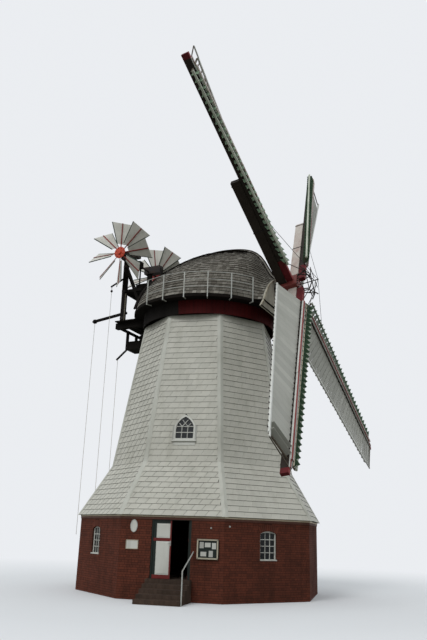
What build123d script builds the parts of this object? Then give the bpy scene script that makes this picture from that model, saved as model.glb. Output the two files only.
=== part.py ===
# Windmill with a brick base, a slate-hung smock, a turning cap, four shuttered sails and two fan roses.
# The origin lies on the tower's axis at ground level, +Z is up and the entrance faces -Y.
# All lengths are in millimetres and all angles in degrees.
from build123d import *
from math import atan2, cos, degrees, radians, sin, sqrt, tan
import os

os.makedirs("parts", exist_ok=True)

# Octagon shared by the base and the smock, one name for each side, anticlockwise seen from above
side_names = ["front", "front_right", "right", "back_right", "back", "back_left", "left", "front_left"]
side_turn = 360 / len(side_names)
corner_share = tan(radians(side_turn / 2))
flat_share = cos(radians(side_turn / 2))

# Brick base
base_corner = 5120
base_wall = 360
floor_top = 725
eave_height = 2905
fascia_height = 140
fascia_thickness = 25

# Entrance
door_frame_width = 1500
door_frame_top = 2805
door_frame_member = 60
door_frame_depth = 80
leaf_thickness = 60
leaf_gap = 6
leaf_stile = 110
leaf_panel_recess = 14
leaf_mid_rail = 1290
hinge_radius = 10
hinge_length = 70
hinge_flap = 8
hinge_gap = 0.3
hinge_heights = [1000, 1700, 2450]

# Entrance steps and handrail
step_rise = 145
step_tread = 300
step_count = 5
step_width = 1640
rail_tube = 22
rail_post_top = 1090
rail_wall_end = 1680

# Base windows, with a segmental head
window_width = 760
window_sill = 1430
window_springing = 2380
window_head_rise = 90
window_frame = 55
window_frame_depth = 70
window_set_back = 130
glass_thickness = 12
window_sides = ["front_right", "back_right", "back_left", "front_left"]
window_shifts = {"front_left": -250}

# Smock
eave_corner = 5250
knee_corner = 3985
knee_height = 4964
smock_top_corner = 2961
smock_top = 11300
smock_wall = 160
smock_foot = 330
corner_board = 120
board_thickness = 24
top_board = 90

# Pointed windows in the smock
lancet_width = 870
lancet_sill = 5800
lancet_springing = 560
lancet_height = 1040
lancet_frame = 75
lancet_frame_proud = 45
lancet_sides = ["front", "right", "back", "left"]

# Signs on the front wall
sign_thickness = 20
oval_sign = (-1440, 2515, 140, 220)
plain_sign = (-1475, 1865, 470, 320)
case_place = (1380, 1790)
case_size = (780, 680)
case_depth = 90
case_member = 45

# Cap: the cap is turned so that the sails face this way, measured from +X
cap_turn = -13.2
curb_height = 150
ring_inner = 2380
ring_outer = 2690
turning_gap = 0.5
cap_ring_height = 150
sheer_width = 240
sheer_height = 280
sheer_apart = 2200
sheer_front = 2650
sheer_tail = 100
deck_thickness = 120
deck_radius = 3520
skirt_radius = 3070
skirt_thickness = 40
skirt_lap = 40
roof_wall = 120
gable_front = 3350
gable_rear = -2450
gable_thickness = 60
apron_drop = 380
apron_flare = 340
gable_width = 3280
eave_lip = 20
roof_stations = [gable_rear, -1800, -500, 800, 1800, 2400, 2980]
roof_ridges = [14400, 14770, 15170, 15300, 15170, 14880, 14020]
gable_ridge = 13500
arch_bulge = 0.11
verge_reach = 120
verge_lip = 35

# Windshaft
shaft_height = 12363
shaft_tilt = 9.35
shaft_radius = 200
neck_radius = 300
neck_hole_gap = 60
bearing_gap = 0.3
front_bearing = 2650
tail_bearing = -1300
bearing_width = 300
poll_centre = 4080
poll_width = 760
poll_wall = 60

# Sails
sail_turn = 55.28
stock_depth = 400
stock_width = 330
stock_end_width = 240
stock_reach = 5650
whip_start = 400
whip_reach = 11000
whip_depth = 300
whip_width = 200
whip_tip_width = 150
panel_start = 1450
panel_end = 10400
panel_lift = 110
heel_weather = 28
tip_weather = 5
trailing_width = 1400
leading_width = 520
hem_width = 90
hem_depth = 70
bar_width = 60
bar_depth = 50
shutter_count = 31
shutter_thickness = 14
shutter_gap = 8
bar_gap = 13
open_tip_bays = 2
shutters_per_bay = 4
leading_shutter_open = 80
lost_shutters = 8
band_bays = [6, 14]
band_width = 54
band_thickness = 14

# Striking gear in front of the poll end
rod_radius = 22
rod_reach = 900
spider_radius = 620
spider_bar = 36
link_foot = 1300
link_bar = 24
stay_foot = 3600
stay_radius = 8

# Railing round the cap
rail_post = 40
rail_top = 1000
rail_bar = 24
rail_levels = [340, 660, 1000]
rail_first = 32
rail_step = 16.6
rail_posts = 6
bracket_reach = 260

# Fan stage and the two roses
fan_behind = 632
fan_height = 15350
fan_apart = 3440
fan_post_apart = 2200
fan_post = 200
fan_strut = 140
strut_gap = 200
stage_behind = 200
stage_board = 50
fan_shaft_radius = 45
fan_bearing = 240
bearing_behind = 250
bearing_before = 700
bearing_half = 180
bearing_above = 270
strut_drop = 500
mid_rail_height = 13450
mid_rail_reach = 1000
case_rear = 180
case_half = 420
case_height = 530
bevel_half = 170
drive_radius = 40
arm_bar = 60
arm_height = 14300
arm_inner = 260
arm_reach = 750
arm_fall = 470
weight_height = 13600
weight_radius = 60
lever_bar = 110
lever_height = 12470
lever_reach = 1800
lever_fall = 250
lever_head = 105
hanger_size = 110
platform_half = 445
platform_height = 10810
platform_board = 340
pole_height = 11100
pole_reach = 830
pole_fall = 690
pole_bar = 70

# Control ropes
rope_radius = 10
weight_rope_length = 9600
lever_rope_length = 10000
pole_rope_length = 6400
rose_radius = 1600
rose_hub_radius = 240
rose_hub_width = 90
arm_size = 50
arm_thickness = 30
vane_start = 470
vane_inner_width = 420
vane_outer_width = 1080
vane_thickness = 14
vane_pitch = 45
vane_rim = 36
second_rose_turn = -8
blade_count = 8


def save(builder, name):
    """Label a finished piece and write it under its own name."""
    builder.part.label = name
    export_step(builder.part, f"parts/{name}.step")


def inside(frame, plane):
    """The plane that lies in a frame as the given plane lies in the world."""
    return Plane(frame.location * plane.location)


def turned(frame, about_x=0, about_y=0, about_z=0):
    """The frame after a turn about its own axes."""
    return Plane(frame.location * Location((0, 0, 0), (about_x, about_y, about_z)))


def block(frame, low, high, mode=Mode.ADD):
    """A box between two corners that are given in a frame."""
    centre = [(a + b) / 2 for a, b in zip(low, high)]
    with Locations(frame.location * Location(centre)):
        Box(*[b - a for a, b in zip(low, high)], mode=mode)


def strut(frame, start, end, width, depth, mode=Mode.ADD):
    """A straight bar of rectangular section between two points that are given in a frame."""
    a = frame.from_local_coords(Vector(*start))
    b = frame.from_local_coords(Vector(*end))
    run = b - a
    across = run.cross(frame.z_dir)
    if across.length < 1:
        across = frame.x_dir
    with BuildSketch(Plane(origin=a, x_dir=across, z_dir=run)) as outline:
        Rectangle(width, depth)
    extrude(outline.sketch, amount=run.length, mode=mode)


def rod(frame, start, end, radius, mode=Mode.ADD):
    """A straight round bar between two points that are given in a frame."""
    a = frame.from_local_coords(Vector(*start))
    b = frame.from_local_coords(Vector(*end))
    with BuildSketch(Plane(origin=a, z_dir=b - a)) as outline:
        Circle(radius)
    extrude(outline.sketch, amount=(b - a).length, mode=mode)


def side_frame(name):
    """Frame of one side of the octagon: x points outwards, y to the right seen from outside."""
    turn = radians(side_names.index(name) * side_turn)
    return Plane(origin=(0, 0, 0), x_dir=(sin(turn), -cos(turn), 0), z_dir=(0, 0, 1))


def elevation(frame, out):
    """Drawing plane facing outwards on one side, with x to the right and y up."""
    return inside(frame, Plane(origin=(out, 0, 0), x_dir=(0, 1, 0), z_dir=(1, 0, 0)))


def section(frame, right=0):
    """Drawing plane across one side, with x outwards and y up."""
    return inside(frame, Plane(origin=(0, right, 0), x_dir=(1, 0, 0), z_dir=(0, -1, 0)))


base_flat = base_corner * flat_share
base_inner = base_flat - base_wall
front = side_frame("front")

# Brick walls, one straight side each, with the windows cut through


def window_plane(side, out):
    """Drawing plane on one side of the base, with x measured from the window's middle."""
    return inside(elevation(side_frame(side), out), Plane((window_shifts.get(side, 0), 0, 0)))


def arched_outline(width, bottom, springing, rise, inset=0):
    """Outline of a window with a segmental head, drawn in the elevation of its wall."""
    half = width / 2 - inset
    with BuildLine() as outline:
        Polyline((-half, springing), (-half, bottom + inset), (half, bottom + inset), (half, springing))
        ThreePointArc((half, springing), (0, springing + rise - inset), (-half, springing))
    make_face(outline.edges())


def wall_slab(frame, bottom, top):
    """One straight side of the brick base with mitred ends."""
    with BuildSketch(inside(frame, Plane.XY.offset(bottom))) as outline:
        inner_half = base_inner * corner_share
        outer_half = base_flat * corner_share
        Polygon(
            (base_inner, -inner_half),
            (base_flat, -outer_half),
            (base_flat, outer_half),
            (base_inner, inner_half),
            align=None,
        )
    extrude(outline.sketch, amount=top - bottom)


with BuildPart() as brick_walls_windowed:
    for side in window_sides:
        wall_slab(side_frame(side), 0, eave_height)
    for side in window_sides:
        with BuildSketch(window_plane(side, base_flat + 1)):
            arched_outline(window_width, window_sill, window_springing, window_head_rise)
        extrude(amount=-base_wall - 2, mode=Mode.SUBTRACT)
save(brick_walls_windowed, "brick_walls_windowed")

with BuildPart() as brick_walls_plain:
    for side in side_names[1:]:
        if side not in window_sides:
            wall_slab(side_frame(side), 0, eave_height)
save(brick_walls_plain, "brick_walls_plain")

door_half = door_frame_width / 2
with BuildPart() as door_piers:
    wall_slab(front, 0, eave_height)
    block(front, (0, -door_half, -1), (base_corner, door_half, eave_height + 1), Mode.SUBTRACT)
save(door_piers, "door_piers")

with BuildPart() as door_head:
    block(front, (base_inner, -door_half, door_frame_top), (base_flat, door_half, eave_height))
save(door_head, "door_head")

# Solid ground floor inside the walls, with the threshold under the doors
with BuildPart() as ground_floor:
    with BuildSketch():
        RegularPolygon(base_inner / flat_share, len(side_names), rotation=side_turn / 2)
    extrude(amount=floor_top)
    block(front, (base_inner - 1, -door_half, 0), (base_flat, door_half, floor_top))
save(ground_floor, "ground_floor")

# Entrance steps
with BuildPart() as entrance_steps:
    with BuildSketch(section(front, step_width / 2)):
        with BuildLine():
            corners = [(base_flat, 0), (base_flat, floor_top)]
            for step in range(step_count):
                corners.append((base_flat + step_tread * (step + 1), floor_top - step_rise * step))
                corners.append((base_flat + step_tread * (step + 1), floor_top - step_rise * (step + 1)))
            Polyline(*corners, close=True)
        make_face()
    extrude(amount=step_width)
save(entrance_steps, "entrance_steps")

# Handrail on the right of the steps
rail_right = step_width / 2 + rail_tube + 8
lower_post = base_flat + step_tread * (step_count - 0.25)
rail_slope = (rail_wall_end - rail_post_top) / (lower_post - base_flat)
with BuildPart() as handrail:
    rod(front, (lower_post, rail_right, 0), (lower_post, rail_right, rail_post_top), rail_tube)
    rod(
        front,
        (lower_post, rail_right, rail_post_top),
        (base_flat - 50, rail_right, rail_wall_end + 50 * rail_slope),
        rail_tube,
    )
    with Locations(front.location * Location((lower_post, rail_right, rail_post_top))):
        Sphere(rail_tube)
    block(front, (base_inner, 0, 0), (base_flat, base_corner, eave_height), Mode.SUBTRACT)
save(handrail, "handrail")

# Cream board under the eave of the smock, all round
with BuildPart() as eave_board:
    with BuildSketch(Plane.XY.offset(eave_height - fascia_height)):
        RegularPolygon((base_flat + fascia_thickness) / flat_share, len(side_names), rotation=side_turn / 2)
        RegularPolygon(base_corner, len(side_names), rotation=side_turn / 2, mode=Mode.SUBTRACT)
    extrude(amount=fascia_height)
save(eave_board, "eave_board")

# Door frame and its two leaves, which open inwards on hinges at the outer jambs
frame_front = base_flat - 20
frame_back = frame_front - door_frame_depth
leaf_front = frame_front - 20
leaf_back = leaf_front - leaf_thickness
leaf_bottom = floor_top + leaf_gap
leaf_top = door_frame_top - door_frame_member - leaf_gap
jamb_inner = door_half - door_frame_member
hinge_right = jamb_inner
hinge_out = leaf_back - hinge_radius - 2

with BuildPart() as door_frame:
    with BuildSketch(elevation(front, frame_back)):
        with Locations((0, (floor_top + door_frame_top) / 2)):
            Rectangle(door_frame_width, door_frame_top - floor_top)
        with Locations((0, (floor_top + door_frame_top - door_frame_member) / 2)):
            Rectangle(2 * jamb_inner, door_frame_top - door_frame_member - floor_top, mode=Mode.SUBTRACT)
    extrude(amount=door_frame_depth)
    for sign in (-1, 1):
        for height in hinge_heights:
            for low in (height - hinge_length / 2, height + hinge_length / 2 + hinge_gap):
                place = (hinge_out, sign * hinge_right, low)
                rod(front, place, (place[0], place[1], low + hinge_length / 2), hinge_radius)
                edge = sorted((sign * hinge_right, sign * (hinge_right + 40)))
                block(
                    front,
                    (hinge_out, edge[0], low),
                    (frame_back + 1, edge[1], low + hinge_length / 2),
                )
save(door_frame, "door_frame")


def door_leaf(frame, sign):
    """One door leaf, drawn closed in the frame that it turns in, with recessed panels."""
    hinge_side = jamb_inner - leaf_gap
    meeting_side = leaf_gap
    low = sorted((sign * hinge_side, sign * meeting_side))
    block(frame, (leaf_back, low[0], leaf_bottom), (leaf_front, low[1], leaf_top))
    panel = sorted((sign * (hinge_side - leaf_stile), sign * (meeting_side + leaf_stile / 2)))
    floor_rail = leaf_bottom + leaf_stile + 30
    for bottom, top in (
        (floor_rail, floor_top + leaf_mid_rail),
        (floor_top + leaf_mid_rail + leaf_stile, leaf_top - leaf_stile),
    ):
        block(
            frame,
            (leaf_front - leaf_panel_recess, panel[0], bottom),
            (leaf_front + 1, panel[1], top),
            Mode.SUBTRACT,
        )
    for height in hinge_heights:
        place = (hinge_out, sign * hinge_right, height)
        rod(frame, place, (place[0], place[1], height + hinge_length / 2), hinge_radius)
        edge = sorted((sign * hinge_right, sign * (hinge_side - 40)))
        block(
            frame,
            (leaf_back - hinge_flap, edge[0], height),
            (leaf_back, edge[1], height + hinge_length / 2),
        )


with BuildPart() as door_leaf_left:
    door_leaf(front, -1)
save(door_leaf_left, "door_leaf_left")

# The right leaf stands open at rest, turned a quarter about its own hinge
open_leaf = inside(
    front,
    Plane(
        origin=(hinge_out - hinge_right, hinge_right + hinge_out, 0),
        x_dir=(0, -1, 0),
        z_dir=(0, 0, 1),
    ),
)
with BuildPart() as door_leaf_right:
    door_leaf(open_leaf, 1)
save(door_leaf_right, "door_leaf_right")

# Signs and the notice case beside the door
with BuildPart() as wall_signs:
    with BuildSketch(elevation(front, base_flat)):
        with Locations((oval_sign[0], oval_sign[1])):
            Ellipse(oval_sign[2], oval_sign[3])
        with Locations((plain_sign[0], plain_sign[1])):
            Rectangle(plain_sign[2], plain_sign[3])
    extrude(amount=sign_thickness)
save(wall_signs, "wall_signs")

with BuildPart() as notice_case:
    with BuildSketch(elevation(front, base_flat)):
        with Locations(case_place):
            Rectangle(*case_size)
    extrude(amount=case_depth)
    with BuildSketch(elevation(front, base_flat + case_depth)):
        with Locations(case_place):
            Rectangle(case_size[0] - 2 * case_member, case_size[1] - 2 * case_member)
    extrude(amount=-case_depth / 2, mode=Mode.SUBTRACT)
save(notice_case, "notice_case")

# Smock: eight sides, each a steep upper slope over a flared skirt
eave_flat = eave_corner * flat_share
knee_flat = knee_corner * flat_share
top_flat = smock_top_corner * flat_share
upper_lean = atan2(knee_flat - top_flat, smock_top - knee_height)
skirt_lean = atan2(eave_flat - knee_flat, knee_height - eave_height)
upper_level_wall = smock_wall / cos(upper_lean)
skirt_level_wall = smock_wall / cos(skirt_lean)
knee_inner = knee_flat - smock_wall / cos((upper_lean + skirt_lean) / 2)
foot_inner = eave_flat - smock_foot
foot_height = eave_height + (eave_flat - skirt_level_wall - foot_inner) / tan(skirt_lean)


def wedge(frame, reach, bottom, top, mode=Mode.INTERSECT):
    """Everything that lies between the two corners of one side."""
    with BuildSketch(inside(frame, Plane.XY.offset(bottom))) as outline:
        Polygon((0, 0), (reach, -reach * corner_share), (reach, reach * corner_share), align=None)
    extrude(outline.sketch, amount=top - bottom, mode=mode)


def upper_plane(frame):
    """Drawing plane on the steep slope of one side, with its origin in the middle of the knee."""
    run = knee_flat - top_flat
    rise = smock_top - knee_height
    return inside(frame, Plane(origin=(knee_flat, 0, knee_height), x_dir=(0, 1, 0), z_dir=(rise, 0, run)))


lancet_start = (lancet_sill - knee_height) / cos(upper_lean)


def lancet_outline(inset=0):
    """Pointed window outline, drawn on the steep slope."""
    half = lancet_width / 2 - inset
    sill = lancet_start + inset
    spring = lancet_start + lancet_springing
    crown = lancet_start + lancet_height - inset
    bulge = 0.16 * half
    with BuildLine() as outline:
        Polyline((-half, spring), (-half, sill), (half, sill), (half, spring))
        SagittaArc((half, spring), (0, crown), -bulge)
        SagittaArc((0, crown), (-half, spring), -bulge)
    make_face(outline.edges())


def smock_side(side):
    """One side of the smock as a bent shell with mitred edges, and its window cut through."""
    frame = side_frame(side)
    with BuildPart() as shell:
        with BuildSketch(section(frame, eave_corner)):
            with BuildLine():
                Polyline(
                    (eave_flat, eave_height),
                    (knee_flat, knee_height),
                    (top_flat, smock_top),
                    (top_flat - upper_level_wall, smock_top),
                    (knee_inner, knee_height),
                    (foot_inner, foot_height),
                    (foot_inner, eave_height),
                    close=True,
                )
            make_face()
        extrude(amount=2 * eave_corner)
        wedge(frame, eave_corner, eave_height, smock_top)
        if side in lancet_sides:
            with BuildSketch(upper_plane(frame).offset(smock_wall)):
                lancet_outline()
            extrude(amount=-3 * smock_wall, mode=Mode.SUBTRACT)
    return shell.part


windowed_sides = [smock_side(side) for side in lancet_sides]
plain_sides = [smock_side(side) for side in side_names if side not in lancet_sides]
for name, shells in (("smock_sides_windowed", windowed_sides), ("smock_sides_plain", plain_sides)):
    with BuildPart() as smock_sides:
        for shell in shells:
            add(shell)
    save(smock_sides, name)

# White boards along the eight corners and the top of every side


def corner_strips(frame):
    """The boards on one side, along its left and right corners and its top."""
    with BuildPart() as strips:
        with BuildSketch(section(frame, eave_corner)):
            with BuildLine():
                Polyline(
                    (eave_flat, eave_height),
                    (eave_flat + board_thickness / cos(skirt_lean), eave_height),
                    (knee_flat + board_thickness / cos((upper_lean + skirt_lean) / 2), knee_height),
                    (top_flat + board_thickness / cos(upper_lean), smock_top),
                    (top_flat, smock_top),
                    (knee_flat, knee_height),
                    close=True,
                )
            make_face()
        extrude(amount=2 * eave_corner)
        wedge(frame, eave_corner + board_thickness * 2, eave_height, smock_top)
        with BuildSketch(elevation(frame, 0)):
            eave_half = eave_flat * corner_share - corner_board
            knee_half = knee_flat * corner_share - corner_board
            top_half = top_flat * corner_share - corner_board
            Polygon(
                (-eave_half, eave_height),
                (eave_half, eave_height),
                (knee_half, knee_height),
                (top_half, smock_top - top_board),
                (-top_half, smock_top - top_board),
                (-knee_half, knee_height),
                align=None,
            )
        extrude(amount=2 * eave_corner, mode=Mode.SUBTRACT)
    return strips.part


all_strips = [corner_strips(side_frame(side)) for side in side_names]
with BuildPart() as corner_boards:
    for strips in all_strips:
        add(strips)
save(corner_boards, "corner_boards")

# Frames and glass of all the windows
with BuildPart() as window_frames:
    for side in window_sides:
        with BuildSketch(window_plane(side, base_flat - window_set_back)):
            arched_outline(window_width, window_sill, window_springing, window_head_rise)
        extrude(amount=window_frame_depth)
        with BuildSketch(window_plane(side, base_flat - window_set_back)):
            arched_outline(window_width, window_sill, window_springing, window_head_rise, window_frame)
        extrude(amount=window_frame_depth, mode=Mode.SUBTRACT)
    for side in lancet_sides:
        slope = upper_plane(side_frame(side))
        with BuildSketch(slope.offset(lancet_frame_proud)):
            lancet_outline()
        extrude(amount=-smock_wall / 2 - lancet_frame_proud)
        with BuildSketch(slope.offset(lancet_frame_proud)):
            lancet_outline(lancet_frame)
        extrude(amount=-smock_wall / 2 - lancet_frame_proud, mode=Mode.SUBTRACT)
save(window_frames, "window_frames")

with BuildPart() as window_glass:
    for side in window_sides:
        with BuildSketch(window_plane(side, base_flat - window_set_back + window_frame_depth / 2)):
            arched_outline(window_width, window_sill, window_springing, window_head_rise, window_frame)
        extrude(amount=glass_thickness)
    for side in lancet_sides:
        with BuildSketch(upper_plane(side_frame(side))):
            lancet_outline(lancet_frame)
        extrude(amount=-glass_thickness)
save(window_glass, "window_glass")

# Curb ring on top of the smock, on which the cap turns
curb_top = smock_top + curb_height
with BuildPart() as curb_ring:
    with BuildSketch(Plane.XY.offset(smock_top)):
        Circle(ring_outer)
        Circle(ring_inner + 120, mode=Mode.SUBTRACT)
    extrude(amount=curb_height)
save(curb_ring, "curb_ring")

# Cap, built in its own frame: x points to the sails, y to the left seen from behind
cap = Plane(origin=(0, 0, 0), x_dir=(cos(radians(cap_turn)), sin(radians(cap_turn)), 0), z_dir=(0, 0, 1))
ring_bottom = curb_top + turning_gap
ring_top = ring_bottom + cap_ring_height
deck_bottom = ring_top + sheer_height
eave_top = deck_bottom + deck_thickness
roof_widths = [2 * sqrt((deck_radius - eave_lip) ** 2 - station ** 2) for station in roof_stations]
roof_stations.append(gable_front)
roof_widths.append(gable_width)
roof_ridges.append(gable_ridge)
fan_back = deck_radius + fan_behind
stage_rear = -fan_back - stage_behind
sheer_rear = stage_rear - sheer_tail
sheer_half = sheer_apart / 2

with BuildPart() as cap_ring:
    with BuildSketch(Plane.XY.offset(ring_bottom)):
        Circle(ring_outer)
        Circle(ring_inner, mode=Mode.SUBTRACT)
    extrude(amount=cap_ring_height)
save(cap_ring, "cap_ring")

with BuildPart() as cap_sheers:
    for sign in (-1, 1):
        block(
            cap,
            (sheer_rear, sign * sheer_half - sheer_width / 2, ring_top),
            (sheer_front, sign * sheer_half + sheer_width / 2, deck_bottom),
        )
save(cap_sheers, "cap_sheers")

with BuildPart() as cap_deck:
    with BuildSketch(inside(cap, Plane.XY.offset(deck_bottom))):
        Circle(deck_radius)
        with Locations((gable_front / 2, 0)):
            Rectangle(gable_front, gable_width)
        with Locations((gable_front + deck_radius, 0)):
            Rectangle(2 * deck_radius, 2 * deck_radius, mode=Mode.SUBTRACT)
        Circle(ring_inner, mode=Mode.SUBTRACT)
    extrude(amount=deck_thickness)
save(cap_deck, "cap_deck")

with BuildPart() as cap_skirt:
    with BuildSketch(Plane.XY.offset(smock_top - skirt_lap)):
        Circle(skirt_radius)
        Circle(skirt_radius - skirt_thickness, mode=Mode.SUBTRACT)
    extrude(amount=deck_bottom - smock_top + skirt_lap)
    for sign in (-1, 1):
        block(
            cap,
            (sheer_rear, sign * sheer_half - sheer_width / 2, ring_top),
            (0, sign * sheer_half + sheer_width / 2, deck_bottom + 1),
            Mode.SUBTRACT,
        )
save(cap_skirt, "cap_skirt")

# Shingled roof of the cap: pointed arches over a round eave, highest towards the sails


def roof_arch(width, ridge, inset=0, mode=Mode.ADD):
    """One cross-section of the cap roof, as two arcs that meet at the ridge."""
    half = width / 2 - inset
    rise = ridge - eave_top - inset
    bulge = arch_bulge * sqrt(half ** 2 + rise ** 2)
    with BuildLine() as outline:
        SagittaArc((half, 0), (0, rise), -bulge)
        SagittaArc((0, rise), (-half, 0), -bulge)
        Line((-half, 0), (half, 0))
    make_face(outline.edges(), mode=mode)


def arch_plane(station):
    """Upright drawing plane across the cap, with its origin on the deck."""
    return inside(cap, Plane(origin=(station, 0, eave_top), x_dir=(0, 1, 0), z_dir=(1, 0, 0)))


with BuildPart() as roof_space:
    for station, width, ridge in zip(roof_stations, roof_widths, roof_ridges):
        with BuildSketch(arch_plane(station)):
            roof_arch(width, ridge, roof_wall)
    loft()

with BuildPart() as cap_roof:
    for station, width, ridge in zip(roof_stations, roof_widths, roof_ridges):
        with BuildSketch(arch_plane(station)):
            roof_arch(width, ridge)
    loft()
    add(roof_space.part, mode=Mode.SUBTRACT)
save(cap_roof, "cap_roof")

# Windshaft frame: x to the left seen from behind, y up along the sails' plane, z forwards along the shaft
tilt = radians(shaft_tilt)
shaft = inside(cap, Plane(origin=(0, 0, shaft_height), x_dir=(0, 1, 0), z_dir=(cos(tilt), 0, sin(tilt))))

with BuildPart() as front_gable:
    with BuildSketch(arch_plane(gable_front)):
        roof_arch(roof_widths[-1], roof_ridges[-1])
    extrude(amount=gable_thickness)
    with BuildSketch(arch_plane(gable_front)):
        apron = gable_width / 2
        flare = apron + apron_flare
        Polygon((-apron, 0), (-flare, -apron_drop), (flare, -apron_drop), (apron, 0), align=None)
    extrude(amount=gable_thickness)
    with BuildSketch(shaft):
        Circle(neck_radius + neck_hole_gap)
    extrude(amount=poll_centre, mode=Mode.SUBTRACT)
save(front_gable, "front_gable")

with BuildPart() as rear_gable:
    with BuildSketch(arch_plane(gable_rear)):
        roof_arch(roof_widths[0], roof_ridges[0])
    extrude(amount=-gable_thickness)
    with BuildSketch(arch_plane(gable_rear - gable_thickness)):
        roof_arch(roof_widths[0], roof_ridges[0], -verge_lip)
        roof_arch(roof_widths[0], roof_ridges[0], 2 * verge_lip, Mode.SUBTRACT)
        with Locations((0, -deck_radius)):
            Rectangle(4 * deck_radius, 2 * deck_radius, mode=Mode.SUBTRACT)
    extrude(amount=-verge_reach)
save(rear_gable, "rear_gable")

# Beams that carry the windshaft inside the cap
with BuildPart() as shaft_beams:
    block(
        cap,
        (front_bearing - bearing_width / 2, -1350, eave_top),
        (front_bearing + bearing_width / 2, 1350, shaft_height + front_bearing * tan(tilt) - 60),
    )
    block(
        cap,
        (tail_bearing - bearing_width / 2, -sheer_half - 120, deck_bottom),
        (tail_bearing + bearing_width / 2, sheer_half + 120, shaft_height + tail_bearing * tan(tilt) - 40),
    )
    rod(shaft, (0, 0, tail_bearing - 800), (0, 0, 0), shaft_radius + bearing_gap, Mode.SUBTRACT)
    rod(shaft, (0, 0, 0), (0, 0, front_bearing + 800), neck_radius + bearing_gap, Mode.SUBTRACT)
save(shaft_beams, "shaft_beams")

poll_back = poll_centre - stock_depth - poll_wall
poll_front = poll_centre + stock_depth + poll_wall
with BuildPart() as windshaft:
    rod(shaft, (0, 0, tail_bearing - 350), (0, 0, 1200), shaft_radius)
    rod(shaft, (0, 0, 1200), (0, 0, poll_back), neck_radius)
save(windshaft, "windshaft")


def sail_frame(turn, level):
    """Frame of one sail: x along the whip, y to the leading side, z forwards."""
    return turned(inside(shaft, Plane.XY.offset(level)), about_z=turn)


stock_levels = [poll_centre + stock_depth / 2, poll_centre - stock_depth / 2]
stock_turns = [sail_turn, sail_turn + 90]


def stock_body(turn, level, mode=Mode.ADD):
    """A stock that tapers from the poll end to both of its ends."""
    frame = sail_frame(turn, level - stock_depth / 2)
    with BuildSketch(frame) as outline:
        half = stock_width / 2
        end = stock_end_width / 2
        Polygon(
            (-stock_reach, -end),
            (-poll_width / 2, -half),
            (poll_width / 2, -half),
            (stock_reach, -end),
            (stock_reach, end),
            (poll_width / 2, half),
            (-poll_width / 2, half),
            (-stock_reach, end),
            align=None,
        )
    extrude(outline.sketch, amount=stock_depth, mode=mode)


with BuildPart() as poll_end:
    with BuildSketch(inside(shaft, Plane.XY.offset(poll_back))):
        RectangleRounded(poll_width, poll_width, 60, rotation=sail_turn)
    extrude(amount=poll_front - poll_back)
    for turn, level in zip(stock_turns, stock_levels):
        stock_body(turn, level, Mode.SUBTRACT)
save(poll_end, "poll_end")

for number, (turn, level) in enumerate(zip(stock_turns, stock_levels), start=1):
    with BuildPart() as stock:
        stock_body(turn, level)
    save(stock, f"stock_{number}")

# The four sails, the first pointing up to the right seen from the front, then anticlockwise
sail_turns = [sail_turn + 90 * quarter for quarter in range(4)]
sail_levels = [stock_levels[0], stock_levels[1]] * 2


def whip_body(frame, mode=Mode.ADD):
    """The long timber of one sail, clamped to the front of its stock."""
    with BuildSketch(frame.offset(-whip_depth / 2)) as outline:
        root = whip_width / 2
        tip = whip_tip_width / 2
        Polygon((whip_start, -root), (whip_reach, -tip), (whip_reach, tip), (whip_start, root), align=None)
    extrude(outline.sketch, amount=whip_depth, mode=mode)


def weather(reach):
    """Angle of the sail's surface to the plane of rotation at a distance from the hub."""
    share = (reach - panel_start) / (panel_end - panel_start)
    return heel_weather + share * (tip_weather - heel_weather)


def edge_point(side, width, reach):
    """Centre of the edge board at a distance from the hub, on the trailing (-1) or leading (1) side."""
    ends = []
    for end in (panel_start, panel_end):
        angle = radians(weather(end))
        ends.append((side * width * cos(angle), panel_lift + side * width * sin(angle)))
    share = (reach - panel_start) / (panel_end - panel_start)
    return tuple(a + share * (b - a) for a, b in zip(*ends))


def edge_board(frame, side, width, mode=Mode.ADD):
    """The straight board along one edge of a sail."""
    start = edge_point(side, width, panel_start - bar_width / 2)
    end = edge_point(side, width, panel_end + bar_width / 2)
    strut(
        frame,
        (panel_start - bar_width / 2, *start),
        (panel_end + bar_width / 2, *end),
        hem_width,
        hem_depth,
        mode,
    )


def bar_frame(frame, reach, side, width):
    """Frame of a cross bar: x along the whip, y from the whip to the edge board."""
    across, lift = edge_point(side, width, reach)
    direction = Vector(0, side * across, side * (lift - panel_lift))
    normal = Vector(1, 0, 0).cross(direction)
    return inside(frame, Plane(origin=(reach, 0, panel_lift), x_dir=(1, 0, 0), z_dir=normal))


def sail_lattice(frame, side, width):
    """Cross bars and edge board of one side of a sail."""
    edge_board(frame, side, width)
    for bay in range(0, shutter_count + 1, shutters_per_bay):
        reach = panel_start + (panel_end - panel_start) * bay / shutter_count
        add_bar(frame, reach, side, width)
    add_bar(frame, panel_end, side, width)


def add_bar(frame, reach, side, width):
    """One cross bar from the whip to the edge board."""
    bar = bar_frame(frame, reach, side, width)
    ends = sorted((0, side * width))
    back = -shutter_thickness / 2 - bar_gap
    block(bar, (-bar_width / 2, ends[0], back - bar_depth), (bar_width / 2, ends[1], back))


shutter_pitch = (panel_end - panel_start) / shutter_count


def shutter_row(frame, side, width, open_angle, count):
    """The shutters of one side, each turned about its own middle line."""
    chord = shutter_pitch - shutter_gap
    for index in range(count):
        reach = panel_start + shutter_pitch * (index + 0.5)
        share = (reach - whip_start) / (whip_reach - whip_start)
        whip_half = (whip_width + share * (whip_tip_width - whip_width)) / 2
        start = whip_half + bearing_gap if open_angle else whip_half / 2
        board = turned(bar_frame(frame, reach, side, width), about_y=side * open_angle)
        ends = sorted((side * start, side * width))
        block(
            board,
            (-chord / 2, ends[0], -shutter_thickness / 2),
            (chord / 2, ends[1], shutter_thickness / 2),
        )


whip_frames = []
for turn, level in zip(sail_turns, sail_levels):
    whip_frames.append(sail_frame(turn, level + (stock_depth + whip_depth) / 2))

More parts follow.
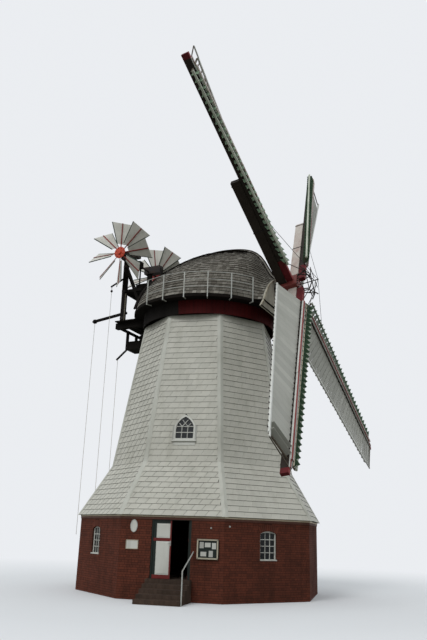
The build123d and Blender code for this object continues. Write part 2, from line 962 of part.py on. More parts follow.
with BuildPart() as whips:
    for frame in whip_frames:
        whip_body(frame)
save(whips, "whips")

for number, frame in enumerate(whip_frames, start=1):
    with BuildPart() as lattice:
        sail_lattice(frame, -1, trailing_width)
        sail_lattice(frame, 1, leading_width)
        whip_body(frame, Mode.SUBTRACT)
    save(lattice, f"sail_frame_{number}")

    with BuildPart() as shutters:
        trailing_count = shutter_count - (lost_shutters if number == 2 else open_tip_bays)
        shutter_row(frame, -1, trailing_width, 0, trailing_count)
        shutter_row(frame, 1, leading_width, leading_shutter_open, shutter_count)
        whip_body(frame, Mode.SUBTRACT)
        edge_board(frame, -1, trailing_width, Mode.SUBTRACT)
        edge_board(frame, 1, leading_width, Mode.SUBTRACT)
    save(shutters, f"shutters_{number}")

# Iron bands that clamp the whips to the stocks, placed between two shutters
with BuildPart() as sail_bands:
    for turn, level in zip(sail_turns, sail_levels):
        frame = sail_frame(turn, level)
        for bay in band_bays:
            place = panel_start + shutter_pitch * bay
            share = (place - poll_width / 2) / (stock_reach - poll_width / 2)
            stock_half = (stock_width + share * (stock_end_width - stock_width)) / 2 + band_thickness
            share = (place - whip_start) / (whip_reach - whip_start)
            whip_half = (whip_width + share * (whip_tip_width - whip_width)) / 2 + band_thickness
            low = (place - band_width / 2, place + band_width / 2)
            back = -stock_depth / 2 - band_thickness
            middle = stock_depth / 2 + band_thickness
            top = (stock_depth + whip_depth) / 2 + panel_lift - bar_depth - 2 * band_thickness
            block(frame, (low[0], -stock_half, back), (low[1], stock_half, middle))
            block(frame, (low[0], -whip_half, middle), (low[1], whip_half, top))
    for turn, level in zip(stock_turns, stock_levels):
        stock_body(turn, level, Mode.SUBTRACT)
    for frame in whip_frames:
        whip_body(frame, Mode.SUBTRACT)
save(sail_bands, "sail_bands")

# Striking rod and spider in front of the poll end, with a link back to each sail
spider_back = poll_front + rod_reach - 420
with BuildPart() as spider:
    rod(shaft, (0, 0, poll_front), (0, 0, poll_front + rod_reach), rod_radius)
    for turn, level in zip(sail_turns, sail_levels):
        arm = turned(shaft, about_z=turn)
        whip_front = level + stock_depth / 2 + whip_depth
        strut(arm, (0, 0, spider_back + 120), (spider_radius, 0, spider_back), spider_bar, spider_bar)
        strut(
            arm,
            (spider_radius - spider_bar / 2, 0, spider_back),
            (link_foot, 0, whip_front),
            link_bar,
            link_bar,
        )
        strut(
            arm,
            (0, 0, poll_front + rod_reach - rod_radius),
            (stay_foot, 0, whip_front - stay_radius),
            2 * stay_radius,
            2 * stay_radius,
        )
    for frame in whip_frames:
        whip_body(frame, Mode.SUBTRACT)
save(spider, "spider")

# Railing round the cap, its brackets reaching back under the deck
rail_radius = deck_radius + rail_post / 2
with BuildPart() as cap_railing:
    for sign in (-1, 1):
        places = []
        for post in range(rail_posts):
            turn = sign * (rail_first + rail_step * post)
            stand = turned(cap, about_z=turn)
            strut(
                stand,
                (rail_radius, 0, deck_bottom - rail_post),
                (rail_radius, 0, eave_top + rail_top),
                rail_post,
                rail_post,
            )
            block(
                stand,
                (rail_radius - bracket_reach, -rail_post / 2, deck_bottom - rail_post),
                (rail_radius, rail_post / 2, deck_bottom),
            )
            places.append((rail_radius * cos(radians(turn)), rail_radius * sin(radians(turn))))
        for start, end in zip(places, places[1:]):
            for level in rail_levels:
                rod(
                    cap,
                    (*start, eave_top + level - rail_bar / 2),
                    (*end, eave_top + level - rail_bar / 2),
                    rail_bar / 2,
                )
save(cap_railing, "cap_railing")

# Fan stage: deck, posts and raking struts behind the cap
post_half = fan_post_apart / 2
with BuildPart() as stage_deck:
    block(
        cap,
        (stage_rear, -post_half - 350, deck_bottom),
        (-skirt_radius, post_half + 350, deck_bottom + stage_board),
    )
    with BuildSketch(Plane.XY.offset(deck_bottom - 1)):
        Circle(deck_radius)
    extrude(amount=deck_thickness, mode=Mode.SUBTRACT)
save(stage_deck, "stage_deck")

post_foot = deck_bottom + stage_board
strut_foot = gable_rear - gable_thickness - verge_reach - strut_gap
with BuildPart() as fan_frame:
    for sign in (-1, 1):
        side = sign * post_half
        strut(
            cap,
            (-fan_back, side, fan_height - strut_drop),
            (strut_foot, side, eave_top - fan_strut),
            fan_strut,
            fan_strut,
        )
        block(
            cap,
            (-fan_back, side - fan_strut / 2, mid_rail_height),
            (-fan_back + mid_rail_reach, side + fan_strut / 2, mid_rail_height + fan_strut),
        )
    for back in (0, case_rear + fan_strut, mid_rail_reach - fan_strut / 2):
        block(
            cap,
            (-fan_back + back - fan_strut / 2, -post_half, mid_rail_height),
            (-fan_back + back + fan_strut / 2, post_half, mid_rail_height + fan_strut),
        )
    block(cap, (-deck_radius, -deck_radius, 0), (0, deck_radius, eave_top), Mode.SUBTRACT)
    for sign in (-1, 1):
        side = sign * post_half
        block(
            cap,
            (-fan_back - fan_post / 2, side - fan_post / 2, post_foot),
            (-fan_back + fan_post / 2, side + fan_post / 2, fan_height - fan_bearing / 2),
        )
save(fan_frame, "fan_frame")

with BuildPart() as fan_bearings:
    for sign in (-1, 1):
        side = sign * post_half
        block(
            cap,
            (-fan_back - bearing_behind, side - bearing_half, fan_height - fan_bearing / 2),
            (-fan_back + bearing_before, side + bearing_half, fan_height + bearing_above),
        )
    rod(
        cap,
        (-fan_back, -fan_apart, fan_height),
        (-fan_back, fan_apart, fan_height),
        fan_shaft_radius + bearing_gap,
        Mode.SUBTRACT,
    )
save(fan_bearings, "fan_bearings")

# Gear case between the posts, with the bevel box on the fan shaft and the drive down to the stage
case_bottom = mid_rail_height + fan_strut
drive_place = -fan_back + bevel_half - 1.5 * drive_radius
with BuildPart() as fan_gear:
    block(
        cap,
        (-fan_back + case_rear, -case_half, case_bottom),
        (-fan_back + mid_rail_reach, case_half, case_bottom + case_height),
    )
    block(
        cap,
        (-fan_back - bevel_half, -bevel_half, fan_height - bevel_half),
        (-fan_back + bevel_half, bevel_half, fan_height + bevel_half),
    )
    rod(cap, (drive_place, 0, post_foot), (drive_place, 0, fan_height - bevel_half), drive_radius)
    rod(
        cap,
        (-fan_back, -fan_apart, fan_height),
        (-fan_back, fan_apart, fan_height),
        fan_shaft_radius + bearing_gap,
        Mode.SUBTRACT,
    )
save(fan_gear, "fan_gear")

# Brake arm with its weight on the near post, and the striking lever below it
arm_side = -post_half - fan_post / 2 - arm_bar / 2
lever_side = -post_half + fan_post / 2 + lever_bar / 2
weight_out = -fan_back - arm_reach + arm_bar
lever_out = -fan_back - lever_reach
with BuildPart() as stage_levers:
    strut(
        cap,
        (-fan_back + arm_inner, arm_side, arm_height),
        (-fan_back - arm_reach, arm_side, arm_height - arm_fall),
        arm_bar,
        arm_bar,
    )
    rod(cap, (weight_out, arm_side, weight_height), (weight_out, arm_side, arm_height - arm_fall), rod_radius / 2)
    with Locations(cap.location * Location((weight_out, arm_side, weight_height))):
        Sphere(weight_radius)
    strut(
        cap,
        (-fan_back + fan_post / 2, lever_side, lever_height),
        (lever_out, lever_side, lever_height - lever_fall),
        lever_bar,
        lever_bar,
    )
    head = inside(cap, Plane(origin=(lever_out, lever_side, lever_height - lever_fall), z_dir=(-1, 0, 0)))
    with Locations(head.location):
        Cylinder(lever_head, lever_head, align=(Align.CENTER, Align.CENTER, Align.MAX))
        Cone(lever_head, rod_radius, lever_head, align=(Align.CENTER, Align.CENTER, Align.MIN))
save(stage_levers, "stage_levers")

# Platform that hangs under the tail of the sheers, and the lower pole on it
hanger_out = -fan_back - hanger_size
hanger_in = -deck_radius + hanger_size
sheer_inner = sheer_half - sheer_width / 2
with BuildPart() as hung_platform:
    for place in (hanger_out, hanger_in):
        block(
            cap,
            (place - hanger_size / 2, -sheer_inner, ring_top),
            (place + hanger_size / 2, sheer_inner, ring_top + hanger_size),
        )
        for sign in (-1, 1):
            side = sign * (platform_half - hanger_size / 2)
            block(
                cap,
                (place - hanger_size / 2, side - hanger_size / 2, platform_height),
                (place + hanger_size / 2, side + hanger_size / 2, ring_top),
            )
    block(
        cap,
        (hanger_out - hanger_size / 2, -platform_half, platform_height - stage_board),
        (hanger_in + hanger_size / 2, platform_half, platform_height),
    )
    for sign in (-1, 1):
        edge = sorted((sign * platform_half, sign * (platform_half - stage_board)))
        block(
            cap,
            (hanger_out, edge[0], platform_height),
            (hanger_in, edge[1], platform_height + platform_board),
        )
    block(
        cap,
        (hanger_out - hanger_size / 2, -platform_half, pole_height - hanger_size / 2),
        (hanger_out + hanger_size / 2, platform_half, pole_height + hanger_size / 2),
    )
    strut(
        cap,
        (hanger_out, 0, pole_height),
        (hanger_out - pole_reach, 0, pole_height - pole_fall),
        pole_bar,
        pole_bar,
    )
save(hung_platform, "hung_platform")

# Control ropes that hang straight down from the weight, the lever and the pole
rope_tops = {
    "rope_weight": (weight_out, arm_side, weight_height - weight_radius, weight_rope_length),
    "rope_lever": (
        lever_out + lever_head / 2,
        lever_side,
        lever_height - lever_fall - lever_head,
        lever_rope_length,
    ),
    "rope_pole": (
        hanger_out - pole_reach + pole_bar,
        0,
        pole_height - pole_fall + pole_bar * pole_fall / pole_reach,
        pole_rope_length,
    ),
}
for name, (out, side, top, length) in rope_tops.items():
    with BuildPart() as rope:
        rod(cap, (out, side, top - length), (out, side, top), rope_radius)
        if name == "rope_pole":
            add(hung_platform.part, mode=Mode.SUBTRACT)
        else:
            add(stage_levers.part, mode=Mode.SUBTRACT)
    save(rope, name)

with BuildPart() as fan_shaft:
    rod(
        cap,
        (-fan_back, -fan_apart / 2 - rose_hub_width / 2, fan_height),
        (-fan_back, fan_apart / 2 + rose_hub_width / 2, fan_height),
        fan_shaft_radius,
    )
save(fan_shaft, "fan_shaft")


def rose_frame(sign, turn):
    """Frame of one rose: z along the fan shaft, pointing away from the stage."""
    centre = Plane(origin=(-fan_back, sign * fan_apart / 2, fan_height), x_dir=(0, 0, 1), z_dir=(0, sign, 0))
    return turned(inside(cap, centre), about_z=turn)


def blade_frame(rose, index):
    """Frame of one blade: x along its arm, turned to the pitch of the vanes."""
    return turned(turned(rose, about_z=360 / blade_count * index), about_x=vane_pitch)


roses = [rose_frame(-1, 0), rose_frame(1, second_rose_turn)]
blades = [blade_frame(rose, index) for rose in roses for index in range(blade_count)]
with BuildPart() as rose_arms:
    for rose in roses:
        rod(rose, (0, 0, -rose_hub_width / 2), (0, 0, rose_hub_width / 2), rose_hub_radius)
    for blade in blades:
        block(blade, (0, -arm_size / 2, -arm_thickness / 2), (rose_radius, arm_size / 2, arm_thickness / 2))
    for rose in roses:
        rod(rose, (0, 0, -rose_hub_width), (0, 0, rose_hub_width), fan_shaft_radius, Mode.SUBTRACT)
save(rose_arms, "rose_arms")

inner_half = vane_inner_width / 2 - vane_rim
outer_half = vane_outer_width / 2 - vane_rim
with BuildPart() as rose_vanes:
    for blade in blades:
        with BuildSketch(blade.offset(-arm_thickness / 2)):
            Polygon(
                (vane_start, -inner_half),
                (rose_radius, -outer_half),
                (rose_radius, outer_half),
                (vane_start, inner_half),
                align=None,
            )
        extrude(amount=-vane_thickness)
save(rose_vanes, "rose_vanes")

with BuildPart() as rose_rims:
    for blade in blades:
        for edge in (-1, 1):
            with BuildSketch(blade.offset(-arm_thickness / 2)):
                Polygon(
                    (vane_start, edge * inner_half),
                    (rose_radius, edge * outer_half),
                    (rose_radius, edge * (outer_half + vane_rim)),
                    (vane_start, edge * (inner_half + vane_rim)),
                    align=None,
                )
            extrude(amount=-vane_rim)
save(rose_rims, "rose_rims")
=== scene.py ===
# %% [markdown]
# # Dressing a windmill
# The solids of the mill come ready made, at their true size. This script gives them their
# finish: bricks, slates, shingles, window bars, door panels, the paint of the sails and many
# small fittings. Everything is in metres, the ground is z = 0 and the entrance faces -y.
#
# First the imported solids are loaded. They stay where they are for good, so new pieces are
# placed on them by measure.

import math
import random

import bmesh
import bpy
from mathutils import Matrix, Vector
from mathutils.bvhtree import BVHTree


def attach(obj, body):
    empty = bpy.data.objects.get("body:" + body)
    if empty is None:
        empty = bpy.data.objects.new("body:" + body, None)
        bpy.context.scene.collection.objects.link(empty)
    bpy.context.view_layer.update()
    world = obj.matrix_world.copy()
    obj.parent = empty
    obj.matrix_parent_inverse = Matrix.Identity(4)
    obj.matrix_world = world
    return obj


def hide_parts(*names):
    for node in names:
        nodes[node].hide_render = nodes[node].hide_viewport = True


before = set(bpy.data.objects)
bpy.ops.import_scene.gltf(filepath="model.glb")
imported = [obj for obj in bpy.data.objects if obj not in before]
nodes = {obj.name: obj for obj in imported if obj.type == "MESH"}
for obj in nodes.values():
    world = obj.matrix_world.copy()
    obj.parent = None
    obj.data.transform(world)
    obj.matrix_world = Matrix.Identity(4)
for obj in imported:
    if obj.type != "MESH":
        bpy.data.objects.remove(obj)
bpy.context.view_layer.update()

# %% [markdown]
# ## Camera
# The picture was taken by someone standing in front of the mill, a little to the right, who
# tipped the camera up. The three directions below were worked out from the corners of the
# mill in the picture. A camera looks along its own -Z, so the third column points backwards.

# %% Camera at the picture's place
view_right = Vector((0.9756, 0.2172, 0.0308)).normalized()
view_ahead = Vector((-0.2161, 0.9275, 0.305)).normalized()
view_up = view_right.cross(view_ahead)
bpy.ops.object.camera_add(location=(7.01, -29.198, 2.325))
camera = bpy.context.object
camera.rotation_mode = "QUATERNION"
camera.rotation_quaternion = Matrix((view_right, view_up, -view_ahead)).transposed().to_quaternion()
camera.data.sensor_width = 36
camera.data.lens = 37.51
camera.data.clip_end = 600
bpy.context.scene.camera = camera
bpy.context.scene.view_settings.view_transform = "Standard"
print("camera at", tuple(camera.location), "lens", camera.data.lens)

# %% [markdown]
# ## Helpers for node trees
# Materials are graphs of nodes, and a few short helpers keep the graphs readable. One makes
# a node and sets or links its sockets, another makes a group with named inputs and outputs,
# and the rest stand for the nodes that are used most. Colours are written as a painter
# would read them off a chart, 0 to 255, and turned into linear light.


# %% Node helpers
def chart(red, green, blue):
    """A chart colour as the linear colour that Blender's sockets take."""
    parts = [(v / 255 / 12.92) if v < 11 else ((v / 255 + 0.055) / 1.055) ** 2.4 for v in (red, green, blue)]
    return (*parts, 1.0)


def feed(tree, socket, value):
    """Link a socket to the one that is given, or set it to a plain value."""
    if hasattr(value, "links"):
        tree.links.new(value, socket)
    else:
        socket.default_value = value


def add_node(tree, kind, sockets=None, **settings):
    """A new shader node with its settings and what its sockets get."""
    made = tree.nodes.new("ShaderNode" + kind)
    for key, value in settings.items():
        setattr(made, key, value)
    for key, value in (sockets or {}).items():
        feed(tree, made.inputs[key], value)
    return made


def new_group(name, inputs, outputs):
    """A node group with named sockets, and its two end nodes."""
    tree = bpy.data.node_groups.new(name, "ShaderNodeTree")
    for label, kind, value in inputs:
        socket = tree.interface.new_socket(label, in_out="INPUT", socket_type="NodeSocket" + kind)
        if value is not None:
            socket.default_value = value
    for label, kind in outputs:
        tree.interface.new_socket(label, in_out="OUTPUT", socket_type="NodeSocket" + kind)
    print("group", name)
    return tree, tree.nodes.new("NodeGroupInput").outputs, tree.nodes.new("NodeGroupOutput").inputs


def use_group(tree, group, sockets):
    """The outputs of a group that is used in another tree."""
    return add_node(tree, "Group", sockets, node_tree=group).outputs


def mix_colour(tree, share, first, second):
    """A Mix node for colours."""
    return add_node(tree, "Mix", {0: share, 6: first, 7: second}, data_type="RGBA").outputs[2]


def calculate(tree, operation, first, second=0.0, third=0.0, clamp=False):
    """A Math node."""
    sockets = {0: first, 1: second, 2: third}
    return add_node(tree, "Math", sockets, operation=operation, use_clamp=clamp).outputs[0]


def vector_math(tree, operation, *values):
    """The outputs of a Vector Math node."""
    return add_node(tree, "VectorMath", dict(enumerate(values)), operation=operation).outputs


def limits(tree, value, low, high):
    """A value mapped so that low becomes 0 and high becomes 1."""
    return add_node(tree, "MapRange", {"Value": value, "From Min": low, "From Max": high}).outputs[0]


def object_place(tree):
    """The place of a point in Object coordinates."""
    return add_node(tree, "TexCoord").outputs["Object"]


print("helpers ready")

# %% [markdown]
# ## Floor, sky and light
# The mill stands on a plain pale floor under soft, even light, as on a bright overcast day.
# The world gives most of the light, and one wide sun models the forms. Light Path lets the
# camera see a paler floor and sky than the ones that light the object, so that the underside
# of the cap stays as dark as it is over a meadow.

# %% Floor, sky and sun
sky_tone = (0.83, 0.85, 0.88, 1.0)
world = bpy.data.worlds.new("soft_sky")
bpy.context.scene.world = world
world.use_nodes = True
tree = world.node_tree
tree.nodes.clear()
path = add_node(tree, "LightPath").outputs
seen = calculate(tree, "MAXIMUM", path["Is Camera Ray"], path["Is Glossy Ray"])
seen = calculate(tree, "MAXIMUM", seen, path["Is Transmission Ray"])
lighting = add_node(tree, "Background", {"Color": (0.93, 0.97, 1.0, 1.0), "Strength": 0.8})
backdrop = add_node(tree, "Background", {"Color": sky_tone, "Strength": 1.0})
blend = add_node(tree, "MixShader", {0: seen, 1: lighting.outputs[0], 2: backdrop.outputs[0]})
add_node(tree, "OutputWorld", {0: blend.outputs[0]})

bpy.ops.object.light_add(type="SUN", rotation=(math.radians(48), 0, math.radians(-20)))
bpy.context.object.data.energy = 0.95
bpy.context.object.data.angle = math.radians(25)

bpy.ops.mesh.primitive_circle_add(vertices=64, radius=400, fill_type="NGON", location=(0, 0, -0.002))
floor = bpy.context.object
floor.name = "floor"
floor_finish = bpy.data.materials.new("pale_floor")
floor_finish.use_nodes = True
tree = floor_finish.node_tree
tree.nodes.clear()
seen = add_node(tree, "LightPath").outputs["Is Camera Ray"]
far = limits(tree, vector_math(tree, "LENGTH", object_place(tree))["Value"], 11.0, 30.0)
tone = mix_colour(tree, seen, (0.22, 0.22, 0.20, 1), (0.74, 0.75, 0.76, 1))
matt = add_node(tree, "BsdfDiffuse", {"Color": tone})
glow = add_node(tree, "Emission", {"Color": sky_tone, "Strength": 1.0})
share = calculate(tree, "MULTIPLY", far, seen)
blend = add_node(tree, "MixShader", {0: share, 1: matt.outputs[0], 2: glow.outputs[0]})
add_node(tree, "OutputMaterial", {0: blend.outputs[0]})
floor.data.materials.append(floor_finish)
print("floor, sky and sun placed")

# %% [markdown]
# ## Shared effects
# Paint, timber, slate and brick all age in the same few ways, so each way is a node group,
# built once and used with other values in every finish:
# - weather_marks lays soft patches and downward streaks of a second colour over the first,
# - piece_tone gives every brick, slate or shingle its own shade, from a number that is
#   stored on its faces,
# - fine_grain is the height of the fine relief, stretched along the grain,
# - plank_seams draws the dark joints between boards that lie side by side.

# %% Group: patches and streaks of weather
weather_marks, start, end = new_group(
    "weather_marks",
    [
        ("Color", "Color", None),
        ("Mark Color", "Color", None),
        ("Patch Scale", "Float", 1.0),
        ("Patch Amount", "Float", 0.4),
        ("Streak Amount", "Float", 0.3),
    ],
    [("Color", "Color"), ("Mask", "Float")],
)
tree = weather_marks
place, scale = object_place(tree), start["Patch Scale"]
patch = add_node(tree, "TexNoise", {"Vector": place, "Scale": scale, "Detail": 6.0, "Roughness": 0.6})
stretched = add_node(tree, "Mapping", {"Vector": place, "Scale": (5.0, 5.0, 0.35)}).outputs[0]
streak = add_node(tree, "TexNoise", {"Vector": stretched, "Scale": scale, "Detail": 4.0})
both = calculate(tree, "MULTIPLY", limits(tree, patch.outputs[0], 0.42, 0.68), start["Patch Amount"])
streaks = limits(tree, streak.outputs[0], 0.5, 0.72)
both = calculate(tree, "MULTIPLY_ADD", streaks, start["Streak Amount"], both, clamp=True)
feed(tree, end["Color"], mix_colour(tree, both, start["Color"], start["Mark Color"]))
feed(tree, end["Mask"], both)

# %% Group: a shade for each small piece
piece_tone, start, end = new_group(
    "piece_tone",
    [("Color", "Color", None), ("Dark Color", "Color", None), ("Spread", "Float", 0.5)],
    [("Color", "Color")],
)
tree = piece_tone
shade = add_node(tree, "Attribute", attribute_name="tone").outputs["Fac"]
share = calculate(tree, "MULTIPLY", shade, start["Spread"], clamp=True)
feed(tree, end["Color"], mix_colour(tree, share, start["Color"], start["Dark Color"]))

# %% Group: fine relief along the grain
fine_grain, start, end = new_group(
    "fine_grain",
    [("Scale", "Float", 30.0), ("Stretch", "Vector", (1.0, 1.0, 1.0))],
    [("Height", "Float")],
)
tree = fine_grain
place = vector_math(tree, "MULTIPLY", object_place(tree), start["Stretch"])[0]
sockets = {"Vector": place, "Scale": start["Scale"], "Detail": 8.0, "Roughness": 0.65}
feed(tree, end["Height"], add_node(tree, "TexNoise", sockets).outputs[0])

# %% Group: joints between boards
plank_seams, start, end = new_group(
    "plank_seams",
    [("Along", "Float", 0.0), ("Width", "Float", 0.15), ("Gap", "Float", 0.05)],
    [("Seam", "Float"), ("Board Tone", "Float")],
)
tree = plank_seams
count = calculate(tree, "DIVIDE", start["Along"], start["Width"])
feed(tree, end["Seam"], calculate(tree, "LESS_THAN", calculate(tree, "FRACT", count), start["Gap"]))
board = add_node(tree, "TexWhiteNoise", noise_dimensions="1D")
feed(tree, board.inputs["W"], calculate(tree, "FLOOR", count))
feed(tree, end["Board Tone"], board.outputs["Value"])

# %% [markdown]
# ## Finishes
# Each finish is one Principled shader fed by the groups. The same few steps make all of
# them: the piece's own shade, the weather on top, then roughness and relief. Only the
# numbers differ, so a single function builds a finish from them. Boards are drawn where a
# finish names the direction in which they lie side by side: "x", "y" or "z" of the cap,
# "round" for boards that stand in a ring, or a direction with the place where it starts.

# %% Build a finish
cap_turn = math.radians(-13.2)
seam_width = 0.012
ring_radius = 3.05


def facing(plane, direction=(0, 0, 1)):
    """The way that a plane looks, or another direction of it."""
    return plane.to_3x3() @ Vector(direction)


def board_coordinate(tree, direction):
    """A number that grows across the boards, in metres."""
    place = object_place(tree)
    if not isinstance(direction, str):
        along = vector_math(tree, "DOT_PRODUCT", place, direction[0])["Value"]
        return calculate(tree, "ADD", along, direction[1])
    turn = add_node(tree, "Mapping", {"Vector": place, "Rotation": (0, 0, -cap_turn)})
    parts = add_node(tree, "SeparateXYZ", {0: turn.outputs[0]}).outputs
    if direction != "round":
        return parts["xyz".index(direction)]
    angle = calculate(tree, "ARCTAN2", parts[1], parts[0])
    return calculate(tree, "MULTIPLY", calculate(tree, "ADD", angle, math.pi), ring_radius)


def new_finish(
    name, colour, mark, patches, streaks, rough, grain, dark=None, spread=0.6, patch_scale=0.7, metal=0.0,
    stretch=(1, 1, 1), relief=0.2, depth=0.004, boards=None, board_width=0.16, seam_share=0.75, ends=None,
    shine=0.3,
):
    """A material from the shared groups.

    Colours are chart colours, and ends are a shaft, two distances from it and a colour.
    """
    finish = bpy.data.materials.new(name)
    finish.use_nodes = True
    tree = finish.node_tree
    shader = tree.nodes["Principled BSDF"].inputs
    dark = dark or [v * 0.6 for v in colour]
    tone = {"Color": chart(*colour), "Dark Color": chart(*dark), "Spread": spread}
    base = use_group(tree, piece_tone, tone)["Color"]
    level = use_group(tree, fine_grain, {"Scale": grain, "Stretch": stretch})["Height"]
    if boards:
        along = board_coordinate(tree, boards)
        sockets = {"Along": along, "Width": board_width, "Gap": seam_width / board_width}
        seams = use_group(tree, plank_seams, sockets)
        share = calculate(tree, "MULTIPLY", seams["Board Tone"], 0.35)
        base = mix_colour(tree, share, base, chart(*[v * 0.7 for v in colour]))
        share = calculate(tree, "MULTIPLY", seams["Seam"], seam_share)
        base = mix_colour(tree, share, base, chart(18, 16, 14))
        level = calculate(tree, "MULTIPLY_ADD", seams["Seam"], -2 * seam_share, level)
    if ends:
        shaft, inner, outer, end_colour = ends
        away = vector_math(tree, "SUBTRACT", object_place(tree), shaft.translation)[0]
        across = vector_math(tree, "CROSS_PRODUCT", away, facing(shaft))[0]
        size = vector_math(tree, "LENGTH", across)["Value"]
        near, far = calculate(tree, "LESS_THAN", size, inner), calculate(tree, "GREATER_THAN", size, outer)
        share = calculate(tree, "ADD", near, far)
        base = mix_colour(tree, share, base, chart(*end_colour))
    weather = {"Patch Scale": patch_scale, "Patch Amount": patches, "Streak Amount": streaks}
    marks = use_group(tree, weather_marks, {"Color": base, "Mark Color": chart(*mark), **weather})
    bump = add_node(tree, "Bump", {"Strength": relief, "Distance": depth, "Height": level})
    for key, value in (
        ("Metallic", metal),
        ("Specular IOR Level", shine),
        ("Base Color", marks["Color"]),
        ("Roughness", calculate(tree, "MULTIPLY_ADD", marks["Mask"], 0.25, rough, clamp=True)),
        ("Normal", bump.outputs[0]),
    ):
        feed(tree, shader[key], value)
    return finish


print("finish builder ready")

# %% [markdown]
# The mill's own finishes. The walls and slates have a wide spread of shades, because every
# brick and slate is its own piece. Painted timber has little spread but more streaks. Each
# row gives the colour, the colour of its marks, the amount of patches and of streaks, the
# roughness and the scale of the grain, and then what that finish has of its own.

# %% The finishes of the mill
brushed = {"stretch": (5, 5, 1)}
brushed_more = {"stretch": (6, 6, 1)}
sky_shine = {"shine": 0.5}
finish_rows = {
    "mortar": (
        (74, 44, 35), (42, 29, 25), 0.6, 0.2, 0.9, 60,
        dict(depth=0.01, boards="z", board_width=0.083, shine=0.1),
    ),
    "brick": (
        (100, 53, 39), (56, 35, 28), 0.5, 0.25, 0.82, 70,
        dict(dark=(78, 43, 33), spread=0.8, relief=0.5, depth=0.005, shine=0.15),
    ),
    "step_brick": (
        (84, 68, 58), (46, 40, 34), 0.6, 0.2, 0.88, 60, dict(dark=(60, 48, 42), relief=0.5, shine=0.15)
    ),
    "slate": (
        (192, 190, 179), (166, 164, 152), 0.35, 0.35, 0.55, 25,
        dict(dark=(176, 175, 165), spread=0.5, stretch=(1, 1, 0.4), relief=0.25),
    ),
    # Dark grey for slate edges and the smock behind them: painted shade under each course and in the joints.
    "slate_painted_shade": ((72, 71, 66), (54, 53, 50), 0.35, 0.2, 0.8, 40, {}),
    "white_paint": ((204, 204, 196), (150, 148, 138), 0.25, 0.35, 0.45, 18, brushed_more),
    "corner_paint": ((190, 190, 180), (146, 144, 132), 0.35, 0.4, 0.5, 18, brushed_more),
    "cream_paint": ((198, 190, 168), (138, 126, 106), 0.35, 0.4, 0.5, 18, brushed),
    "eave_cream": ((238, 222, 192), (160, 142, 116), 0.35, 0.4, 0.5, 18, brushed),
    "eave_paint": ((92, 56, 44), (60, 38, 30), 0.4, 0.4, 0.6, 18, brushed),
    "stock_paint": ((190, 183, 174), (150, 118, 110), 0.45, 0.4, 0.5, 18, {}),
    "gable_boards": (
        (206, 202, 186), (132, 125, 109), 0.4, 0.45, 0.55, 20, dict(boards="y", board_width=0.18, **brushed)
    ),
    "green_paint": ((22, 34, 28), (15, 20, 17), 0.4, 0.3, 0.42, 22, brushed),
    "sail_green": ((78, 108, 82), (52, 78, 58), 0.35, 0.25, 0.38, 22, sky_shine),
    # A paler copy of the sail green: painted highlight of the sky, for the shutters of the sail that points
    # up to the left.
    "tooth_painted_highlight": ((128, 150, 124), (84, 108, 86), 0.35, 0.25, 0.38, 22, sky_shine),
    "hem_white": ((216, 217, 211), (160, 158, 148), 0.25, 0.25, 0.45, 20, {}),
    "hem_cream": ((190, 194, 178), (128, 140, 120), 0.4, 0.25, 0.45, 20, {}),
    "red_paint": ((132, 38, 34), (78, 28, 26), 0.35, 0.3, 0.5, 20, brushed),
    "whip_red": ((150, 62, 58), (100, 44, 42), 0.4, 0.3, 0.5, 20, {}),
    "skirt_red": (
        (70, 13, 13), (34, 10, 10), 0.5, 0.5, 0.6, 20,
        dict(boards="round", board_width=0.19, shine=0.08, **brushed),
    ),
    "dark_timber": (
        (27, 24, 22), (15, 14, 13), 0.5, 0.3, 0.8, 26, dict(stretch=(4, 4, 1), relief=0.4, shine=0.08)
    ),
    "bar_timber": ((104, 94, 80), (66, 60, 52), 0.5, 0.3, 0.8, 26, dict(relief=0.4)),
    "deck_boards": (
        (26, 22, 19), (15, 13, 12), 0.5, 0.2, 0.85, 26,
        dict(boards="y", board_width=0.15, relief=0.4, shine=0.08),
    ),
    "whip_side": ((50, 43, 37), (32, 28, 25), 0.5, 0.2, 0.6, 24, dict(relief=0.35, shine=0.12)),
    "shingle": (
        (146, 142, 133), (86, 82, 74), 0.45, 0.4, 0.9, 34,
        dict(dark=(92, 87, 79), spread=0.95, patch_scale=0.9, relief=0.6, depth=0.006, shine=0.15),
    ),
    # Near black for shingle edges and the roof behind them: painted shade under each course. The ridge roll
    # has the same dark finish.
    "shingle_shade_dark_wood": ((26, 23, 20), (18, 16, 14), 0.35, 0.2, 0.95, 40, dict(shine=0.05)),
    "vane_paint": ((204, 202, 193), (156, 154, 142), 0.35, 0.25, 0.5, 22, dict(patch_scale=1.6)),
    "rim_green": ((36, 56, 44), (24, 32, 28), 0.4, 0.2, 0.5, 22, {}),
    "iron": ((46, 44, 43), (78, 54, 42), 0.4, 0.2, 0.5, 60, dict(patch_scale=2.5, metal=0.6, relief=0.3)),
    "poll_red": ((118, 52, 46), (62, 36, 32), 0.55, 0.25, 0.5, 40, dict(patch_scale=2.0, relief=0.3)),
    "hub_red": ((196, 70, 42), (148, 52, 36), 0.3, 0.2, 0.45, 40, dict(patch_scale=3.0)),
    "rail_paint": ((180, 182, 177), (132, 122, 106), 0.35, 0.2, 0.45, 60, dict(patch_scale=4.0, metal=0.2)),
    "rope": (
        (196, 192, 182), (150, 146, 136), 0.4, 0.2, 0.95, 220,
        dict(patch_scale=8.0, stretch=(1, 1, 3), relief=0.8),
    ),
}
finishes = {name: new_finish(name, *row[:-1], **row[-1]) for name, row in finish_rows.items()}
print("finishes:", len(finishes))


def dress(piece, *names):
    """Give a piece its finishes, the first one for all of its faces."""
    piece.data.materials.clear()
    for name in names:
        piece.data.materials.append(finishes[name])


def fit_out(piece, body, slot_name, *names):
    """Give a piece its finishes and the body that it rides on. slot_name is not used."""
    dress(piece, *names)
    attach(piece, body)


# %% [markdown]
# ## Control ropes
# Three thin ropes hang from the fan stage: one from the weight on the upper arm, one from
# the head of the lever and one from the lower pole. Each is a curve with the points of its
# run, because a rope is a line with a thickness, and it ends in a small knot. The knots are
# two rings that cross, as an overhand knot looks from any side.

